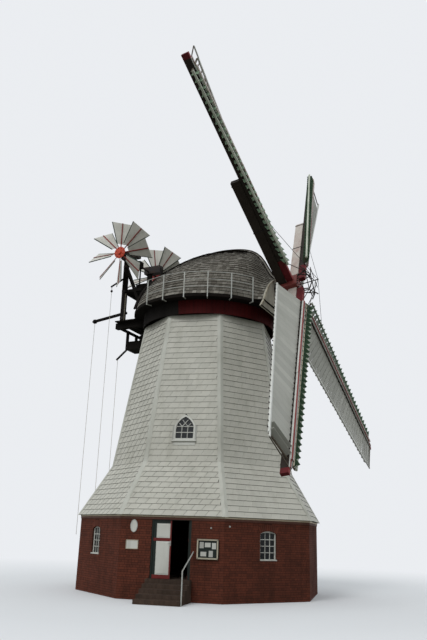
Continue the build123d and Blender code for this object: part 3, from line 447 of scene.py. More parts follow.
# %% Ropes and their knots
cap_frame = Matrix.Rotation(cap_turn, 4, "Z")
rope_runs = {
    "rope_weight": ((-4.842, -1.230), 13.540, 9.600),
    "rope_lever": ((-5.8995, -0.945), 12.115, 10.000),
    "rope_pole": ((-5.022, 0.0), 10.4225, 6.3545),
}


def join(pieces, kept):
    """Join pieces into the one that is kept."""
    bpy.ops.object.select_all(action="DESELECT")
    for piece in pieces:
        piece.select_set(True)
    bpy.context.view_layer.objects.active = kept
    bpy.ops.object.join()


def knot_at(name, place):
    """Two crossed rings of rope, pulled tight."""
    rings = []
    for tip in (0.5, 2.1):
        bpy.ops.mesh.primitive_torus_add(
            major_segments=14, minor_segments=8, major_radius=0.013, minor_radius=0.009,
            location=place, rotation=(tip, 0.4, tip),
        )
        rings.append(bpy.context.object)
    join(rings, rings[-1])
    bpy.ops.object.transform_apply(location=True, rotation=True, scale=True)
    rings[-1].name = name
    return rings[-1]


for name, ((out, side), top, length) in rope_runs.items():
    shares = (0.0, 0.03, 0.35, 0.7, 0.97, 1.0)
    ends = [cap_frame @ Vector((out, side, top - length * share)) for share in shares]
    line = bpy.data.curves.new(name + "_line", "CURVE")
    line.dimensions = "3D"
    line.bevel_depth = 0.01
    line.bevel_resolution = 2
    run = line.splines.new("NURBS")
    run.points.add(len(ends) - 1)
    for point, end in zip(run.points, ends):
        point.co = (*end, 1.0)
    run.order_u = 3
    run.use_endpoint_u = True
    rope = bpy.data.objects.new(name + "_run", line)
    bpy.context.collection.objects.link(rope)
    rope.data.materials.append(finishes["rope"])
    knot = knot_at(name + "_knot", ends[-1] + Vector((0, 0, 0.012)))
    knot.data.materials.append(finishes["rope"])
    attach(rope, "cap")
    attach(knot, "cap")
    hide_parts(name)
print("ropes hung:", list(rope_runs))

# %% [markdown]
# ## Paint on the solids
# Most solids already have the right shape, and only need their finish. Where one solid has
# two colours, its faces are sorted by where they lie or look, and each face gets the number
# of its finish.

# %% Finish of every solid
solids_by_finish = {
    "mortar": "brick_walls_plain brick_walls_windowed door_piers door_head",
    "step_brick": "ground_floor entrance_steps",
    "rail_paint": "handrail cap_railing",
    "eave_paint": "eave_board",
    "green_paint": "door_frame door_leaf_left door_leaf_right",
    "white_paint": "wall_signs window_frames",
    "slate_painted_shade": "smock_sides_windowed smock_sides_plain",
    "corner_paint": "corner_boards",
    "dark_timber": "notice_case curb_ring cap_ring cap_sheers shaft_beams fan_frame fan_gear stage_levers"
    " hung_platform",
    "deck_boards": "cap_deck rear_gable stage_deck",
    "shingle_shade_dark_wood": "cap_roof",
    "gable_boards": "front_gable",
    "iron": "fan_bearings windshaft sail_bands spider fan_shaft",
    "poll_red": "poll_end",
    "stock_paint": "stock_1",
    "whip_side": "stock_2",
    "red_paint": "rose_arms",
    "vane_paint": "rose_vanes",
    "rim_green": "rose_rims",
}
for finish, names in solids_by_finish.items():
    for name in names.split():
        dress(nodes[name], finish)
print("finishes on whole solids:", len(solids_by_finish))

# %% [markdown]
# Glass is nearly black from outside, because the rooms behind it are dark. A smooth dark
# shader with a little ripple mirrors the sky as old panes do, and stays the same in any viewer.

# %% Window glass
glass = bpy.data.materials.new("window_glass")
glass.use_nodes = True
tree = glass.node_tree
ripple = use_group(tree, fine_grain, {"Scale": 3.0})[0]
bump = add_node(tree, "Bump", {"Strength": 0.08, "Distance": 0.02, "Height": ripple})
for key, value in (
    ("Roughness", 0.18),
    ("Specular IOR Level", 0.3),
    ("Normal", bump.outputs[0]),
    ("Base Color", mix_colour(tree, ripple, chart(12, 15, 16), chart(26, 31, 34))),
):
    feed(tree, tree.nodes["Principled BSDF"].inputs[key], value)
nodes["window_glass"].data.materials.clear()
nodes["window_glass"].data.materials.append(glass)
print("glass done")

# %% [markdown]
# ## Bricks
# The base is laid in cross bond: a course of long faces, then a course of short ones. A
# picture of bricks would blur near to, so the bricks are real: the solid wall is the mortar,
# and each brick stands 8 mm proud of it. Bricks, slates and shingles are all small plates
# on a surface, so one function lays them. A plate is given by its four corners on the
# surface and its thickness at the lower and upper edge, so it can be cut to any shape.

# %% Lay many plates as one piece
seed = random.Random(7)


def new_piece(name, points, faces, shades, body, slot_name, *names):
    """A piece from points and faces, with a shade for each face."""
    mesh = bpy.data.meshes.new(name)
    mesh.from_pydata(points, [], faces)
    mesh.attributes.new("tone", "FLOAT", "FACE").data.foreach_set("value", shades)
    piece = bpy.data.objects.new(name, mesh)
    bpy.context.collection.objects.link(piece)
    fit_out(piece, body, slot_name, *names)
    return mesh


def lay_plates(name, plates, body, slot_name, face_finish, edge_finish, side_kind=1):
    """One piece from many plates.

    A plate is its corners from the lower left round to the upper left, its thickness at the
    lower and the upper edge, and a shade. The kind of a face is the number of its finish.
    """
    quads = ((4, 5, 6, 7), (0, 1, 5, 4), (1, 2, 6, 5), (2, 3, 7, 6), (3, 0, 4, 7))
    points, faces, shades = [], [], []
    for corners, low, high, shade in plates:
        normal = (corners[1] - corners[0]).cross(corners[3] - corners[0]).normalized()
        first = len(points)
        points += corners
        points += [corner + normal * lift for corner, lift in zip(corners, (low, low, high, high))]
        faces += [[first + corner for corner in quad] for quad in quads]
        shades += [shade] * len(quads)
    mesh = new_piece(name, points, faces, shades, body, slot_name, face_finish, edge_finish)
    mesh.polygons.foreach_set("material_index", [0, 1, side_kind, 1, side_kind] * len(plates))
    mesh.update()
    print(name, "plates:", len(plates), "triangles:", 2 * len(faces))


# %% [markdown]
# Every side of the octagon gets its own frame: x to the right, y up the wall and z out of
# it. The wall can lean, as the smock does above. What is worked out once in such a frame
# then serves all eight sides.

# %% Frames of the eight sides
corner_share = math.tan(math.radians(22.5))


def side_plane(number, low, high):
    """Frame on a side between two levels, each a distance from the axis and a height."""
    turn = math.radians(45 * number)
    out = Vector((math.sin(turn), -math.cos(turn), 0))
    right = Vector((math.cos(turn), math.sin(turn), 0))
    rise = (out * (high[0] - low[0]) + Vector((0, 0, high[1] - low[1]))).normalized()
    plane = Matrix((right, rise, right.cross(rise))).transposed().to_4x4()
    plane.translation = out * low[0] + Vector((0, 0, low[1]))
    return plane


def upright(number, flat, top=1):
    """Upright frame on a side, at a distance from the axis."""
    return side_plane(number, (flat, 0), (flat, top))


def in_plane(plane, *points):
    """Points of a plane, each given as (across, up)."""
    return [plane @ Vector((*point, 0)) for point in points]


def rectangle(plane, left, right, bottom, top):
    """Four corners in a plane, from the lower left round to the upper left."""
    return in_plane(plane, (left, bottom), (right, bottom), (right, top), (left, top))


wall_flat = 4.7303
eave_height = 2.905
wall_half = wall_flat * corner_share
print("width of one brick side:", round(2 * wall_half, 3))

# %% [markdown]
# The openings are left free course by course. The windows have a shallow arch, so the free
# width narrows above the spring line, where the arch bricks stand on end.

# %% Free width of the openings
floor_height = 0.725
window_shift = {1: 0.0, 3: 0.0, 5: 0.0, 7: -0.25}
window_sill, window_spring, window_rise, window_half = 1.43, 2.38, 0.09, 0.38
arch_radius = (window_half**2 + window_rise**2) / (2 * window_rise)
arch_centre = window_spring + window_rise - arch_radius
arch_angle = math.asin(window_half / arch_radius)
arch_outer = arch_radius + 0.24


def wall_opening(number, height):
    """Middle and half width of what a course leaves free at a height, or None."""
    if number == 0:
        return (0.0, 0.75) if height > floor_height else (0.0, 0.82)
    if number in window_shift and window_sill - 0.12 < height < arch_centre + arch_outer:
        half = window_half
        if height < window_sill:
            half = window_half + 0.04
        if height > window_spring:
            up = height - arch_centre
            half = min(up * math.tan(arch_angle), math.sqrt(arch_outer**2 - up**2))
        return window_shift[number], half
    return None


# %% Courses of bricks
course, joint, long_face, wall_top = 0.083, 0.012, 0.25, 2.79
bricks = []
for number in range(8):
    plane = upright(number, wall_flat, eave_height)
    for row in range(34):
        bottom = row * course + joint / 2
        top = min(bottom + course - joint, wall_top)
        gap = wall_opening(number, (bottom + top) / 2)
        runs = [(-wall_half, wall_half)]
        if gap:
            runs = [(-wall_half, gap[0] - gap[1]), (gap[0] + gap[1], wall_half)]
        module = long_face if row % 2 == 0 else long_face / 2
        shift = long_face / 4 if row % 4 == 1 else 0.0
        for index in range(-1, int(2 * wall_half / module) + 2):
            left = -wall_half + index * module - shift + joint / 2
            for start_at, end_at in runs:
                low, high = max(left, start_at), min(left + module - joint, end_at)
                if high - low > 0.02:
                    shade = seed.random() ** 1.6
                    bricks.append((rectangle(plane, low, high, bottom, top), 0.008, 0.008, shade))
print("bricks in the courses:", len(bricks))

# %% [markdown]
# Over each window the bricks stand on end and fan out round the centre of the arch, and
# under it they lie on edge as a sill that sheds the rain.

# %% Arches and sills
arch_bricks = 10
for number, shift in window_shift.items():
    plane = upright(number, wall_flat, eave_height)
    for index in range(arch_bricks):
        first, last = [arch_angle * (2 * (index + edge) / arch_bricks - 1) for edge in (0.06, 0.94)]
        ring = ((arch_radius, first), (arch_radius, last), (arch_outer, last), (arch_outer, first))
        corners = [(shift + r * math.sin(angle), arch_centre + r * math.cos(angle)) for r, angle in ring]
        bricks.append((in_plane(plane, *corners), 0.012, 0.012, seed.random() ** 1.6))
    for index in range(10):
        left = shift - window_half - 0.036 + index * course
        corners = rectangle(plane, left, left + 0.071, window_sill - 0.115, window_sill - 0.002)
        bricks.append((corners, 0.026, 0.014, seed.random()))
lay_plates("base_bricks", bricks, "tower", "brick", "brick", "brick")

# %% [markdown]
# The steps are built of bricks on edge, with the joints showing on top and in front.

# %% Bricks of the entrance steps
step_rise, step_depth = 0.145, 0.3
step_bricks = []
for step in range(5):
    out = wall_flat + step_depth * (step + 1)
    height = floor_height - step_rise * step
    front = upright(0, out)
    tread = side_plane(0, (out, height), (out - step_depth, height))
    for index in range(20):
        left = -0.815 + index * 0.0818
        shade = seed.random()
        for plane, bottom, top, relief, tone in (
            (front, height - 0.112, height, 0.006, shade),
            (tread, -0.006, 0.226, 0.004, shade),
            (tread, 0.238, step_depth, 0.004, seed.random()),
        ):
            step_bricks.append((rectangle(plane, left, left + 0.07, bottom, top), relief, relief, tone))
lay_plates("step_bricks", step_bricks, "tower", "step_stone", "step_brick", "step_brick")

# %% [markdown]
# ## Slates of the smock
# The eight sides of the smock are hung with pale grey slates in level courses. Each course
# lies half a slate off the one below, and its side edges slant to the right. A slate lies on
# the one under it, so its lower edge stands out. Its edge faces are painted dark grey as
# painted shade, the thin dark line that shows from far off, and the smock behind the slates
# has the same painted shade in the joints. The white corner boards cover the ends, so the
# outer slates are cut along them, and round the pointed windows too.

# %% Outline of the pointed windows on the slope
eave_flat, knee_flat, top_flat = 4.8504, 3.6817, 2.7356
knee_height, smock_top = 4.964, 11.3
lean = math.atan2(knee_flat - top_flat, smock_top - knee_height)
lancet_start = (5.8 - knee_height) / math.cos(lean)
lancet_half, lancet_spring, lancet_crown, lancet_bulge = 0.435, 0.56, 1.04, 0.37


def lancet_half_at(distance):
    """Half the width of the window frame at a distance up the slope from its sill."""
    if distance < 0 or distance > lancet_crown:
        return 0.0
    share = max(0.0, (distance - lancet_spring) / (lancet_crown - lancet_spring))
    return lancet_half * (1 - share) + lancet_bulge * share * (1 - share)


# %% [markdown]
# The joints are open to a different width on each side of the real tower. They are widest
# on the weather side, where the slates stand off a little and their side edges show as well,
# painted dark as painted shade like the lower edges.

# %% Hang the slates
slates, weather_slates = [], []
slate_width, slate_course, slate_slant = 0.41, 0.245, 0.13
corner_cover, lancet_cover, sliver = 0.1, 0.04, 0.002
weather_side = 7
joint_widths = {0: (0.016, 0.008), 1: (0.004, 0.005), weather_side: (0.024, 0.024)}
slopes = (
    ((eave_flat, eave_height), (knee_flat, knee_height), 0.0),
    ((knee_flat, knee_height), (top_flat, smock_top), 0.07),
)
for number, (upper, (low, high, kept_free)) in [(n, slope) for n in range(8) for slope in enumerate(slopes)]:
    plane = side_plane(number, low, high)
    length = math.hypot(low[0] - high[0], high[1] - low[1]) - kept_free
    rows = round(length / slate_course)
    pitch = length / rows
    joint = joint_widths.get(number, (0.012, 0.012))[upper]
    pile = weather_slates if number == weather_side else slates
    for row in range(rows):
        bottom, top = row * pitch, (row + 1) * pitch
        taper = (low[0] - high[0]) * corner_share / (length + kept_free)
        half_low = low[0] * corner_share - taper * bottom - corner_cover
        half_high = half_low - taper * pitch
        inner_low = inner_high = 0.0
        if number % 2 == 0 and upper:
            inner_low = max(0.0, lancet_half_at(bottom - lancet_start) - lancet_cover)
            inner_high = max(0.0, lancet_half_at(top - lancet_start) - lancet_cover)
            if top > lancet_start > bottom:
                inner_low = inner_high = lancet_half - lancet_cover
            if bottom < lancet_start + lancet_crown < top:
                inner_high = 0.0
        shift = slate_width / 2 if row % 2 else 0.0
        for index in range(int(2 * half_low / slate_width) + 3):
            left = -half_low - slate_width + (index - 0.3) * slate_width + shift + joint / 2
            right = left + slate_width - joint
            for sign in (-1, 1):
                edges = []
                for inner, outer, slant in ((inner_low, half_low, 0.0), (inner_high, half_high, slate_slant)):
                    run = (-outer, -inner) if sign < 0 else (inner, outer)
                    edges.append((max(left + slant, run[0]), min(right + slant, run[1])))
                if all(edge[1] - edge[0] < sliver for edge in edges):
                    continue
                spans = []
                for edge, other in (edges, edges[::-1]):
                    middle = edge[0] if edge[0] > other[0] else edge[1]
                    spans.append(edge if edge[1] - edge[0] > sliver else (middle - 0.001, middle + 0.001))
                (low_left, low_right), (high_left, high_right) = spans
                corners = ((low_left, bottom), (low_right, bottom), (high_right, top), (high_left, top))
                pile.append((in_plane(plane, *corners), 0.022, 0.003, seed.random() ** 1.5))
# The lower edges take the dark painted shade; on the weather side the side edges take it too.
lay_plates("smock_slates", slates, "tower", "slate", "slate", "slate_painted_shade", 0)
lay_plates("weather_slates", weather_slates, "tower", "slate", "slate", "slate_painted_shade", 1)

# %% [markdown]
# ## Bars, boards and bolts
# Window bars, trim boards, pins and bolts are each modelled once, as a bar one unit long
# with its front edges rounded and a bolt with a washer, and then copied to their places.
# Every copy is stretched to its own length, and all the copies of one kind become one piece.

# %% Model a bar and a bolt
def start_piece(add, **sizes):
    """A piece from one of the basic shapes, its place applied."""
    bpy.ops.object.select_all(action="DESELECT")
    add(**sizes)
    bpy.ops.object.transform_apply(location=True)
    return bpy.context.object


def pick(piece, kind, wanted):
    """Start to edit a piece, with the edges or faces selected for which wanted is true."""
    bpy.ops.object.mode_set(mode="EDIT")
    bpy.ops.mesh.select_mode(type=kind)
    bpy.ops.mesh.select_all(action="DESELECT")
    shape = bmesh.from_edit_mesh(piece.data)
    for part in shape.edges if kind == "EDGE" else shape.faces:
        part.select = wanted(part)
    bmesh.update_edit_mesh(piece.data)


def work_face(*steps):
    """Inset, extrude or lift what is selected, step by step, and end the edit."""
    for kind, size in steps:
        if kind == "inset":
            bpy.ops.mesh.inset(thickness=size)
        elif kind == "extrude":
            bpy.ops.mesh.extrude_region_move(TRANSFORM_OT_translate={"value": (0, 0, size)})
        else:
            bpy.ops.transform.translate(value=(0, 0, size))
    bpy.ops.object.mode_set(mode="OBJECT")


def is_front_edge(edge):
    """Whether an edge of the bar runs along its front."""
    return abs(edge.verts[0].co.y - edge.verts[1].co.y) > 0.9 and edge.verts[0].co.z > 0.9


def looks_up(face):
    """Whether a face looks up."""
    return face.normal.z > 0.9


unit_bar = start_piece(bpy.ops.mesh.primitive_cube_add, size=1, location=(0, 0.5, 0.5))
pick(unit_bar, "EDGE", is_front_edge)
bpy.ops.mesh.bevel(offset=0.14, segments=2)
bpy.ops.object.mode_set(mode="OBJECT")

bolt_sizes = {"vertices": 12, "radius": 0.5, "depth": 0.2, "location": (0, 0, 0.1)}
unit_bolt = start_piece(bpy.ops.mesh.primitive_cylinder_add, **bolt_sizes)
pick(unit_bolt, "FACE", looks_up)
work_face(("inset", 0.16), ("extrude", 0.45), ("inset", 0.06), ("lift", 0.08))
print("bar faces", len(unit_bar.data.polygons), "bolt faces", len(unit_bolt.data.polygons))


# %% Copy a unit to many places
def moved(*place):
    """Matrix that moves to a place."""
    return Matrix.Translation(place)


def turned(degrees, axis):
    """Matrix that turns about an axis."""
    return Matrix.Rotation(math.radians(degrees), 4, axis)


def bar_place(start, end, front, width, depth):
    """Matrix that lays the unit bar from start to end, its front looking the given way."""
    along = end - start
    side = along.cross(front).normalized() * width
    raised = side.cross(along).normalized() * depth
    place = Matrix((side, along, raised)).transposed().to_4x4()
    place.translation = start
    return place


def flat_bar(plane, start, end, width, depth, lift=0.0):
    """Bar between two points of a plane, given as (across, up)."""
    first, last = plane @ Vector((*start, lift)), plane @ Vector((*end, lift))
    return bar_place(first, last, facing(plane), width, depth)


def level_bar(plane, middle, up, half, *sizes):
    """Level bar in a plane."""
    return flat_bar(plane, (middle - half, up), (middle + half, up), *sizes)


def upright_bar(plane, across, bottom, top, *sizes):
    """Upright bar in a plane."""
    return flat_bar(plane, (across, bottom), (across, top), *sizes)


def bolt_places(plane, points, size, lift=0.0):
    """Matrices that set the unit bolt on points of a plane."""
    return [plane @ moved(across, up, lift) @ Matrix.Scale(size, 4) for across, up in points]


def set_copies(name, unit, places, body, slot_name, finish):
    """One piece from copies of a unit, each copy with its own shade."""
    corners = [vertex.co.copy() for vertex in unit.data.vertices]
    quads = [list(face.vertices) for face in unit.data.polygons]
    points, faces, shades = [], [], []
    for place in places:
        first = len(points)
        points += [place @ corner for corner in corners]
        faces += [[first + corner for corner in quad] for quad in quads]
        shades += [seed.random()] * len(quads)
    new_piece(name, points, faces, shades, body, slot_name, finish)
    print(name, "copies:", len(places), "faces:", len(faces))


# %% [markdown]
# ## Windows
# The windows of the base have three panes across and four up. The pointed ones above have
# six panes below the spring line, and over them the bars cross as lozenges, each one
# parallel to one side of the point. White sills stand out under all of them.

# %% Window bars and sills
glazing_flat = 4.6473
bars, sills = [], []
for number, shift in window_shift.items():
    plane = upright(number, glazing_flat, eave_height)
    bars += [upright_bar(plane, shift + across, 1.48, 2.40, 0.026, 0.026) for across in (-0.108, 0.108)]
    bars += [level_bar(plane, shift, up, 0.33, 0.026, 0.024) for up in (1.714, 1.943, 2.172)]
    sills.append(level_bar(plane, shift, 1.452, 0.38, 0.045, 0.115))
for number in (0, 2, 4, 6):
    slope = side_plane(number, (knee_flat, knee_height), (top_flat, smock_top))
    sill, spring, crown = lancet_start + 0.07, lancet_start + 0.56, lancet_start + 0.975
    bars += [upright_bar(slope, across, sill, spring, 0.032, 0.035) for across in (-0.12, 0.12)]
    bars += [level_bar(slope, 0, up, 0.37, 0.032, 0.033) for up in ((sill + spring) / 2, spring)]
    for sign in (-1, 1):
        for first, last in ((0.12, -0.12), (0.12, 0.24)):
            rise = abs(last - first) * (crown - spring) / 0.36
            bars.append(flat_bar(slope, (sign * first, spring), (sign * last, spring + rise), 0.026, 0.036))
    sills.append(level_bar(slope, 0, lancet_start - 0.03, 0.5, 0.06, 0.10))
    for sign in (-1, 1):
        sills.append(upright_bar(slope, sign * 0.465, lancet_start - 0.03, lancet_start + 0.58, 0.07, 0.03))
    sills.append(level_bar(slope, 0, lancet_start - 0.13, 0.46, 0.13, 0.03))
set_copies("window_bars", unit_bar, bars, "tower", "white_wood", "white_paint")
set_copies("window_sills", unit_bar, sills, "tower", "white_wood", "white_paint")

# %% [markdown]
# ## Door
# Each leaf has two white panels in its stiles, a dark red middle rail, kick board and
# meeting edge, and dark green round them. The parts are worked out once in the plane of a
# leaf. The left leaf is closed, the right one stands open, so its plane is the same one,
# turned a quarter about its hinge.

# %% Panels and painted boards of the leaves
leaf_flat = 4.6903
closed_plane = upright(0, leaf_flat)
open_plane = Matrix(((0, 0, -1, 0.6177), (-1, 0, 0, -3.928), (0, 1, 0, 0), (0, 0, 0, 1)))


def model_panel(plane, left, right, bottom, top):
    """A panel with a bevelled raised field, modelled flat and then set in its leaf."""
    panel = start_piece(bpy.ops.mesh.primitive_plane_add, size=1)
    panel.scale = (right - left, top - bottom, 1)
    bpy.ops.object.transform_apply(scale=True)
    bpy.ops.object.mode_set(mode="EDIT")
    bpy.ops.mesh.select_all(action="SELECT")
    work_face(("extrude", 0.004), ("inset", 0.02), ("inset", 0.025), ("lift", 0.009), ("inset", 0.004))
    panel.data.transform(plane @ moved((left + right) / 2, (bottom + top) / 2, -0.013))
    return panel


for side, plane, sign in (("left", closed_plane, -1), ("right", open_plane, 1)):
    body = "door_" + side
    panel_edges = sorted((sign * 0.574, sign * 0.061))
    panels = [model_panel(plane, *panel_edges, *levels) for levels in ((0.871, 2.015), (2.125, 2.629))]
    join(panels, panels[0])
    panels[0].name = f"door_panels_{side}"
    fit_out(panels[0], body, "white_wood", "white_paint")
    boards = [
        upright_bar(plane, sign * 0.034, 0.735, 2.735, 0.052, 0.007),
        flat_bar(plane, (sign * 0.062, 2.07), (sign * 0.68, 2.07), 0.104, 0.006),
        flat_bar(plane, (sign * 0.062, 0.801), (sign * 0.68, 0.801), 0.13, 0.009),
    ]
    set_copies(f"door_red_boards_{side}", unit_bar, boards, body, "red_wood", "red_paint")
    handle = [
        upright_bar(plane, sign * 0.034, 1.86, 2.03, 0.04, 0.006, 0.006),
        flat_bar(plane, (sign * 0.02, 1.95), (sign * 0.12, 1.95), 0.018, 0.016, 0.034),
    ]
    set_copies(f"door_handle_{side}", unit_bar, handle, body, "rail_metal", "rail_paint")

# %% [markdown]
# Beside the door hang a bare oval sign and a bare board, each with a raised rim, and a
# notice case with green cloth and a few blank sheets. Three small iron ties end in white
# caps high on the wall.

# %% Rims, sheets and caps on the wall
front = upright(0, wall_flat)
rim_sizes = {"major_segments": 40, "minor_segments": 8, "major_radius": 1, "minor_radius": 0.07}
rim = start_piece(bpy.ops.mesh.primitive_torus_add, **rim_sizes)
rim.name = "oval_sign_rim"
rim.data.transform(front @ moved(-1.44, 2.515, 0.02) @ Matrix.Diagonal((0.132, 0.212, 0.12, 1)))
bpy.ops.object.shade_smooth()
fit_out(rim, "tower", "cream_wood", "rail_paint")

trims = []
for left, right, bottom, top, *sizes in (
    (-1.71, -1.24, 1.705, 2.025, 0.025, 0.008, 0.02),
    (0.99, 1.77, 1.45, 2.13, 0.05, 0.012, 0.09),
):
    inset = sizes[0] / 2
    trims += [flat_bar(front, (left, up), (right, up), *sizes) for up in (bottom + inset, top - inset)]
    trims += [upright_bar(front, across, bottom, top, *sizes) for across in (left + inset, right - inset)]
set_copies("sign_trims", unit_bar, trims, "tower", "cream_wood", "cream_paint")
cloth = flat_bar(front, (1.04, 1.79), (1.72, 1.79), 0.58, 0.006, 0.045)
set_copies("case_cloth", unit_bar, [cloth], "tower", "green_wood", "green_paint")
wide, tall = (0.21, 0.15), (0.15, 0.21)
sheets = []
for left, bottom, (width, height) in (
    (1.08, 1.82, tall), (1.27, 1.86, wide), (1.53, 1.8, tall), (1.12, 1.55, wide), (1.42, 1.53, tall)
):
    up = bottom + height / 2
    sheets.append(flat_bar(front, (left, up), (left + width, up), height, 0.002, 0.0515))
set_copies("blank_sheets", unit_bar, sheets, "tower", "white_wood", "white_paint")
caps = bolt_places(front, ((-1.335, 2.46), (1.473, 2.51)), 0.07)
caps += bolt_places(upright(1, wall_flat), ((-1.74, 2.58),), 0.07)
set_copies("wall_tie_caps", unit_bolt, caps, "tower", "white_wood", "white_paint")

# %% [markdown]
# A narrow cream strip runs round under the lowest slates. The rest of the eave board is
# stained nearly as dark as the bricks under it.

# %% Strip under the eave
strip_half = (wall_flat + 0.035) * corner_share
strips = [level_bar(upright(n, wall_flat + 0.025), 0, 2.877, strip_half, 0.055, 0.01) for n in range(8)]
set_copies("eave_strips", unit_bar, strips, "tower", "cream_wood", "eave_cream")

# %% [markdown]
# ## Shingles of the cap
# The cap is shaped like an upturned boat and hung with wooden shingles in courses that run
# round it from the tail to the gable. The courses start at the eave and follow the curve up
# to the ridge. To lay them on the curved solid, rays are shot at it from outside, which
# gives a grid of points, and the courses are spaced evenly along each arch of that grid.

# %% Read the curve of the cap
roof = nodes["cap_roof"].data
roof_quads = [tuple(face.vertices) for face in roof.polygons]
roof_tree = BVHTree.FromPolygons([vertex.co for vertex in roof.vertices], roof_quads)
eave_top = 12.0005
first_station, last_station, station_gaps = -2.448, 3.348, 58
arch_steps = 26


def arch_points(station, sign):
    """Points on the outside of the roof from the eave to the ridge, on one side of the cap."""
    found = []
    for step in range(arch_steps + 1):
        angle = math.radians(0.15 + 89.7 * step / arch_steps)
        aim = Vector((station, 0, eave_top))
        away = Vector((0, sign * math.cos(angle), math.sin(angle)))
        hit = roof_tree.ray_cast(cap_frame @ (aim + away * 8), facing(cap_frame, -away))[0]
        if hit:
            found.append(hit)
    return found


def walk(points, distance):
    """The point at a distance along a row of points."""
    for first, last in zip(points, points[1:]):
        step = (last - first).length
        if distance <= step:
            return first.lerp(last, distance / step)
        distance -= step
    return None


stations = [
    first_station + (last_station - first_station) * share / station_gaps for share in range(station_gaps + 1)
]
arches = {sign: [arch_points(station, sign) for station in stations] for sign in (-1, 1)}
girths = {
    sign: [sum((b - a).length for a, b in zip(arch, arch[1:])) for arch in arches[sign]] for sign in (-1, 1)
}
print("arches read:", len(stations), "longest half girth", round(max(girths[1]), 2))

# %% [markdown]
# The shingles differ in width, so the course is walked from tail to gable in steps of
# random length. The arches get shorter towards both ends, so the upper courses are cut
# where they reach the ridge. There a row of wider shingles and a wooden roll cover them.
# A shingle's lower edge stands out, a little more or less than its neighbour's. Its edge
# faces and the roof behind are nearly black, as painted shade for the dark line under each
# course.

# %% Lay the shingles
exposure = 0.172
end_place = len(stations) - 1.001


def roof_point(sign, place, distance):
    """Point at a fractional station, at a distance up from the eave or, below 0, down from the ridge."""
    index = min(int(place), len(stations) - 2)
    ends = []
    for station in (index, index + 1):
        girth = girths[sign][station]
        along = girth + distance if distance < 0 else min(distance, girth - 0.002)
        ends.append(walk(arches[sign][station], along))
    return ends[0].lerp(ends[1], place - index)


def shingle_at(sign, place, after, low, high):
    """Four corners of a shingle between two stations and two distances."""
    first, last = (after, place) if sign > 0 else (place, after)
    corners = [roof_point(sign, *spot) for spot in ((first, low), (last, low), (last, high), (first, high))]
    gap = (corners[1] - corners[0]) * 0.02
    corners = [corners[0] + gap, corners[1] - gap, corners[2] - gap, corners[3] + gap]
    sunk = (corners[1] - corners[0]).cross(corners[3] - corners[0]).normalized() * 0.012
    return [corner - sunk for corner in corners]


shingles = []
for sign in (-1, 1):
    for row in range(int(max(girths[sign]) / exposure) + 1):
        place = 0.0
        while place < end_place:
            after = min(place + seed.uniform(0.9, 2.1), end_place)
            if row * exposure < min(girths[sign][int(place)], girths[sign][int(after)]) - 0.03:
                corners = shingle_at(sign, place, after, row * exposure, (row + 1) * exposure)
                shingles.append((corners, 0.04 + seed.uniform(-0.006, 0.008), 0.016, seed.random()))
            place = after
    for index in range(0, len(stations) - 2, 2):
        corners = shingle_at(sign, index, min(index + 2, end_place), -0.24, -0.002)
        shingles.append((corners, 0.066, 0.066, seed.random()))
# The edge faces of the shingles take the near-black painted shade.
lay_plates("cap_shingles", shingles, "cap", "shingle", "shingle", "shingle_shade_dark_wood")
ridge = [arches[1][index][-1].lerp(arches[-1][index][-1], 0.5) for index in range(0, len(stations), 2)]
rolls = [bar_place(first, last, (0, 0, 1), 0.1, 0.09) for first, last in zip(ridge, ridge[1:])]
set_copies("ridge_roll", unit_bar, rolls, "cap", "dark_wood", "shingle_shade_dark_wood")

# %% [markdown]
# ## Cap boards
# The front half of the skirt under the deck is dark red, and the half towards the fan stage
# is painted black, a painted shade for the shadow that the deck and stage throw on it, so its
# faces are sorted by which half they lie in. A cream verge runs round the front gable, with a
# dark batten where the flared apron begins.

# %% Skirt, verge and batten
def sort_faces(name, rule, *names):
    """Give each face of a solid the finish whose number the rule returns for it."""
    dress(nodes[name], *names)
    for face in nodes[name].data.polygons:
        face.material_index = rule(face)


to_cap = cap_frame.inverted()
# The rear half gets the black timber finish as painted shade: the shadow of the deck and stage.
sort_faces("cap_skirt", lambda face: 0 if (to_cap @ face.center).x > 0.05 else 1, "skirt_red", "dark_timber")

gable_out = 3.411
gable_plane = cap_frame @ Matrix(((0, 0, 1, gable_out), (1, 0, 0, 0), (0, 1, 0, 0), (0, 0, 0, 1)))
to_gable = gable_plane.inverted()
verge = []
for sign in (-1, 1):
    edge = [to_gable @ point for point in arches[sign][-1]]
    edge = [(point.x * 0.975, point.y * 0.998) for point in edge]
    edges = [*zip(edge, edge[1:]), ((sign * 1.61, 11.98), (sign * 1.94, 11.63))]
    verge += [flat_bar(gable_plane, first, last, 0.07, 0.03) for first, last in edges]
set_copies("gable_verge", unit_bar, verge, "cap", "cream_wood", "cream_paint")
batten_rows = ((11.985, 1.66, 0.06), (11.64, 1.96, 0.05))
battens = [level_bar(gable_plane, 0, up, half, width, 0.035) for up, half, width in batten_rows]
set_copies("gable_battens", unit_bar, battens, "cap", "dark_wood", "dark_timber")

# %% [markdown]
# ## Sails
# The windshaft leans back a little, and each sail lies in a frame of its own with x along
# the whip, y to its leading side and z forwards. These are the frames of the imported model,
# so whatever is placed in them once fits all four sails.

# %% Frames of the sails
shaft_tilt = math.radians(9.35)
dip, run = math.sin(shaft_tilt), math.cos(shaft_tilt)
shaft_frame = cap_frame @ Matrix(((0, -dip, run, 0), (1, 0, 0, 0), (0, run, dip, 12.363), (0, 0, 0, 1)))
sail_turns = [55.28, 145.28, 235.28, 325.28]
whip_levels = [4.63, 4.23, 4.63, 4.23]
sails = [shaft_frame @ moved(0, 0, level) @ turned(turn, "Z") for turn, level in zip(sail_turns, whip_levels)]
panel_start, panel_end, panel_lift = 1.45, 10.4, 0.11
trailing_width, heel_twist, tip_twist = 1.4, 28, 5
shutter_places = 31
shutter_pitch = (panel_end - panel_start) / shutter_places


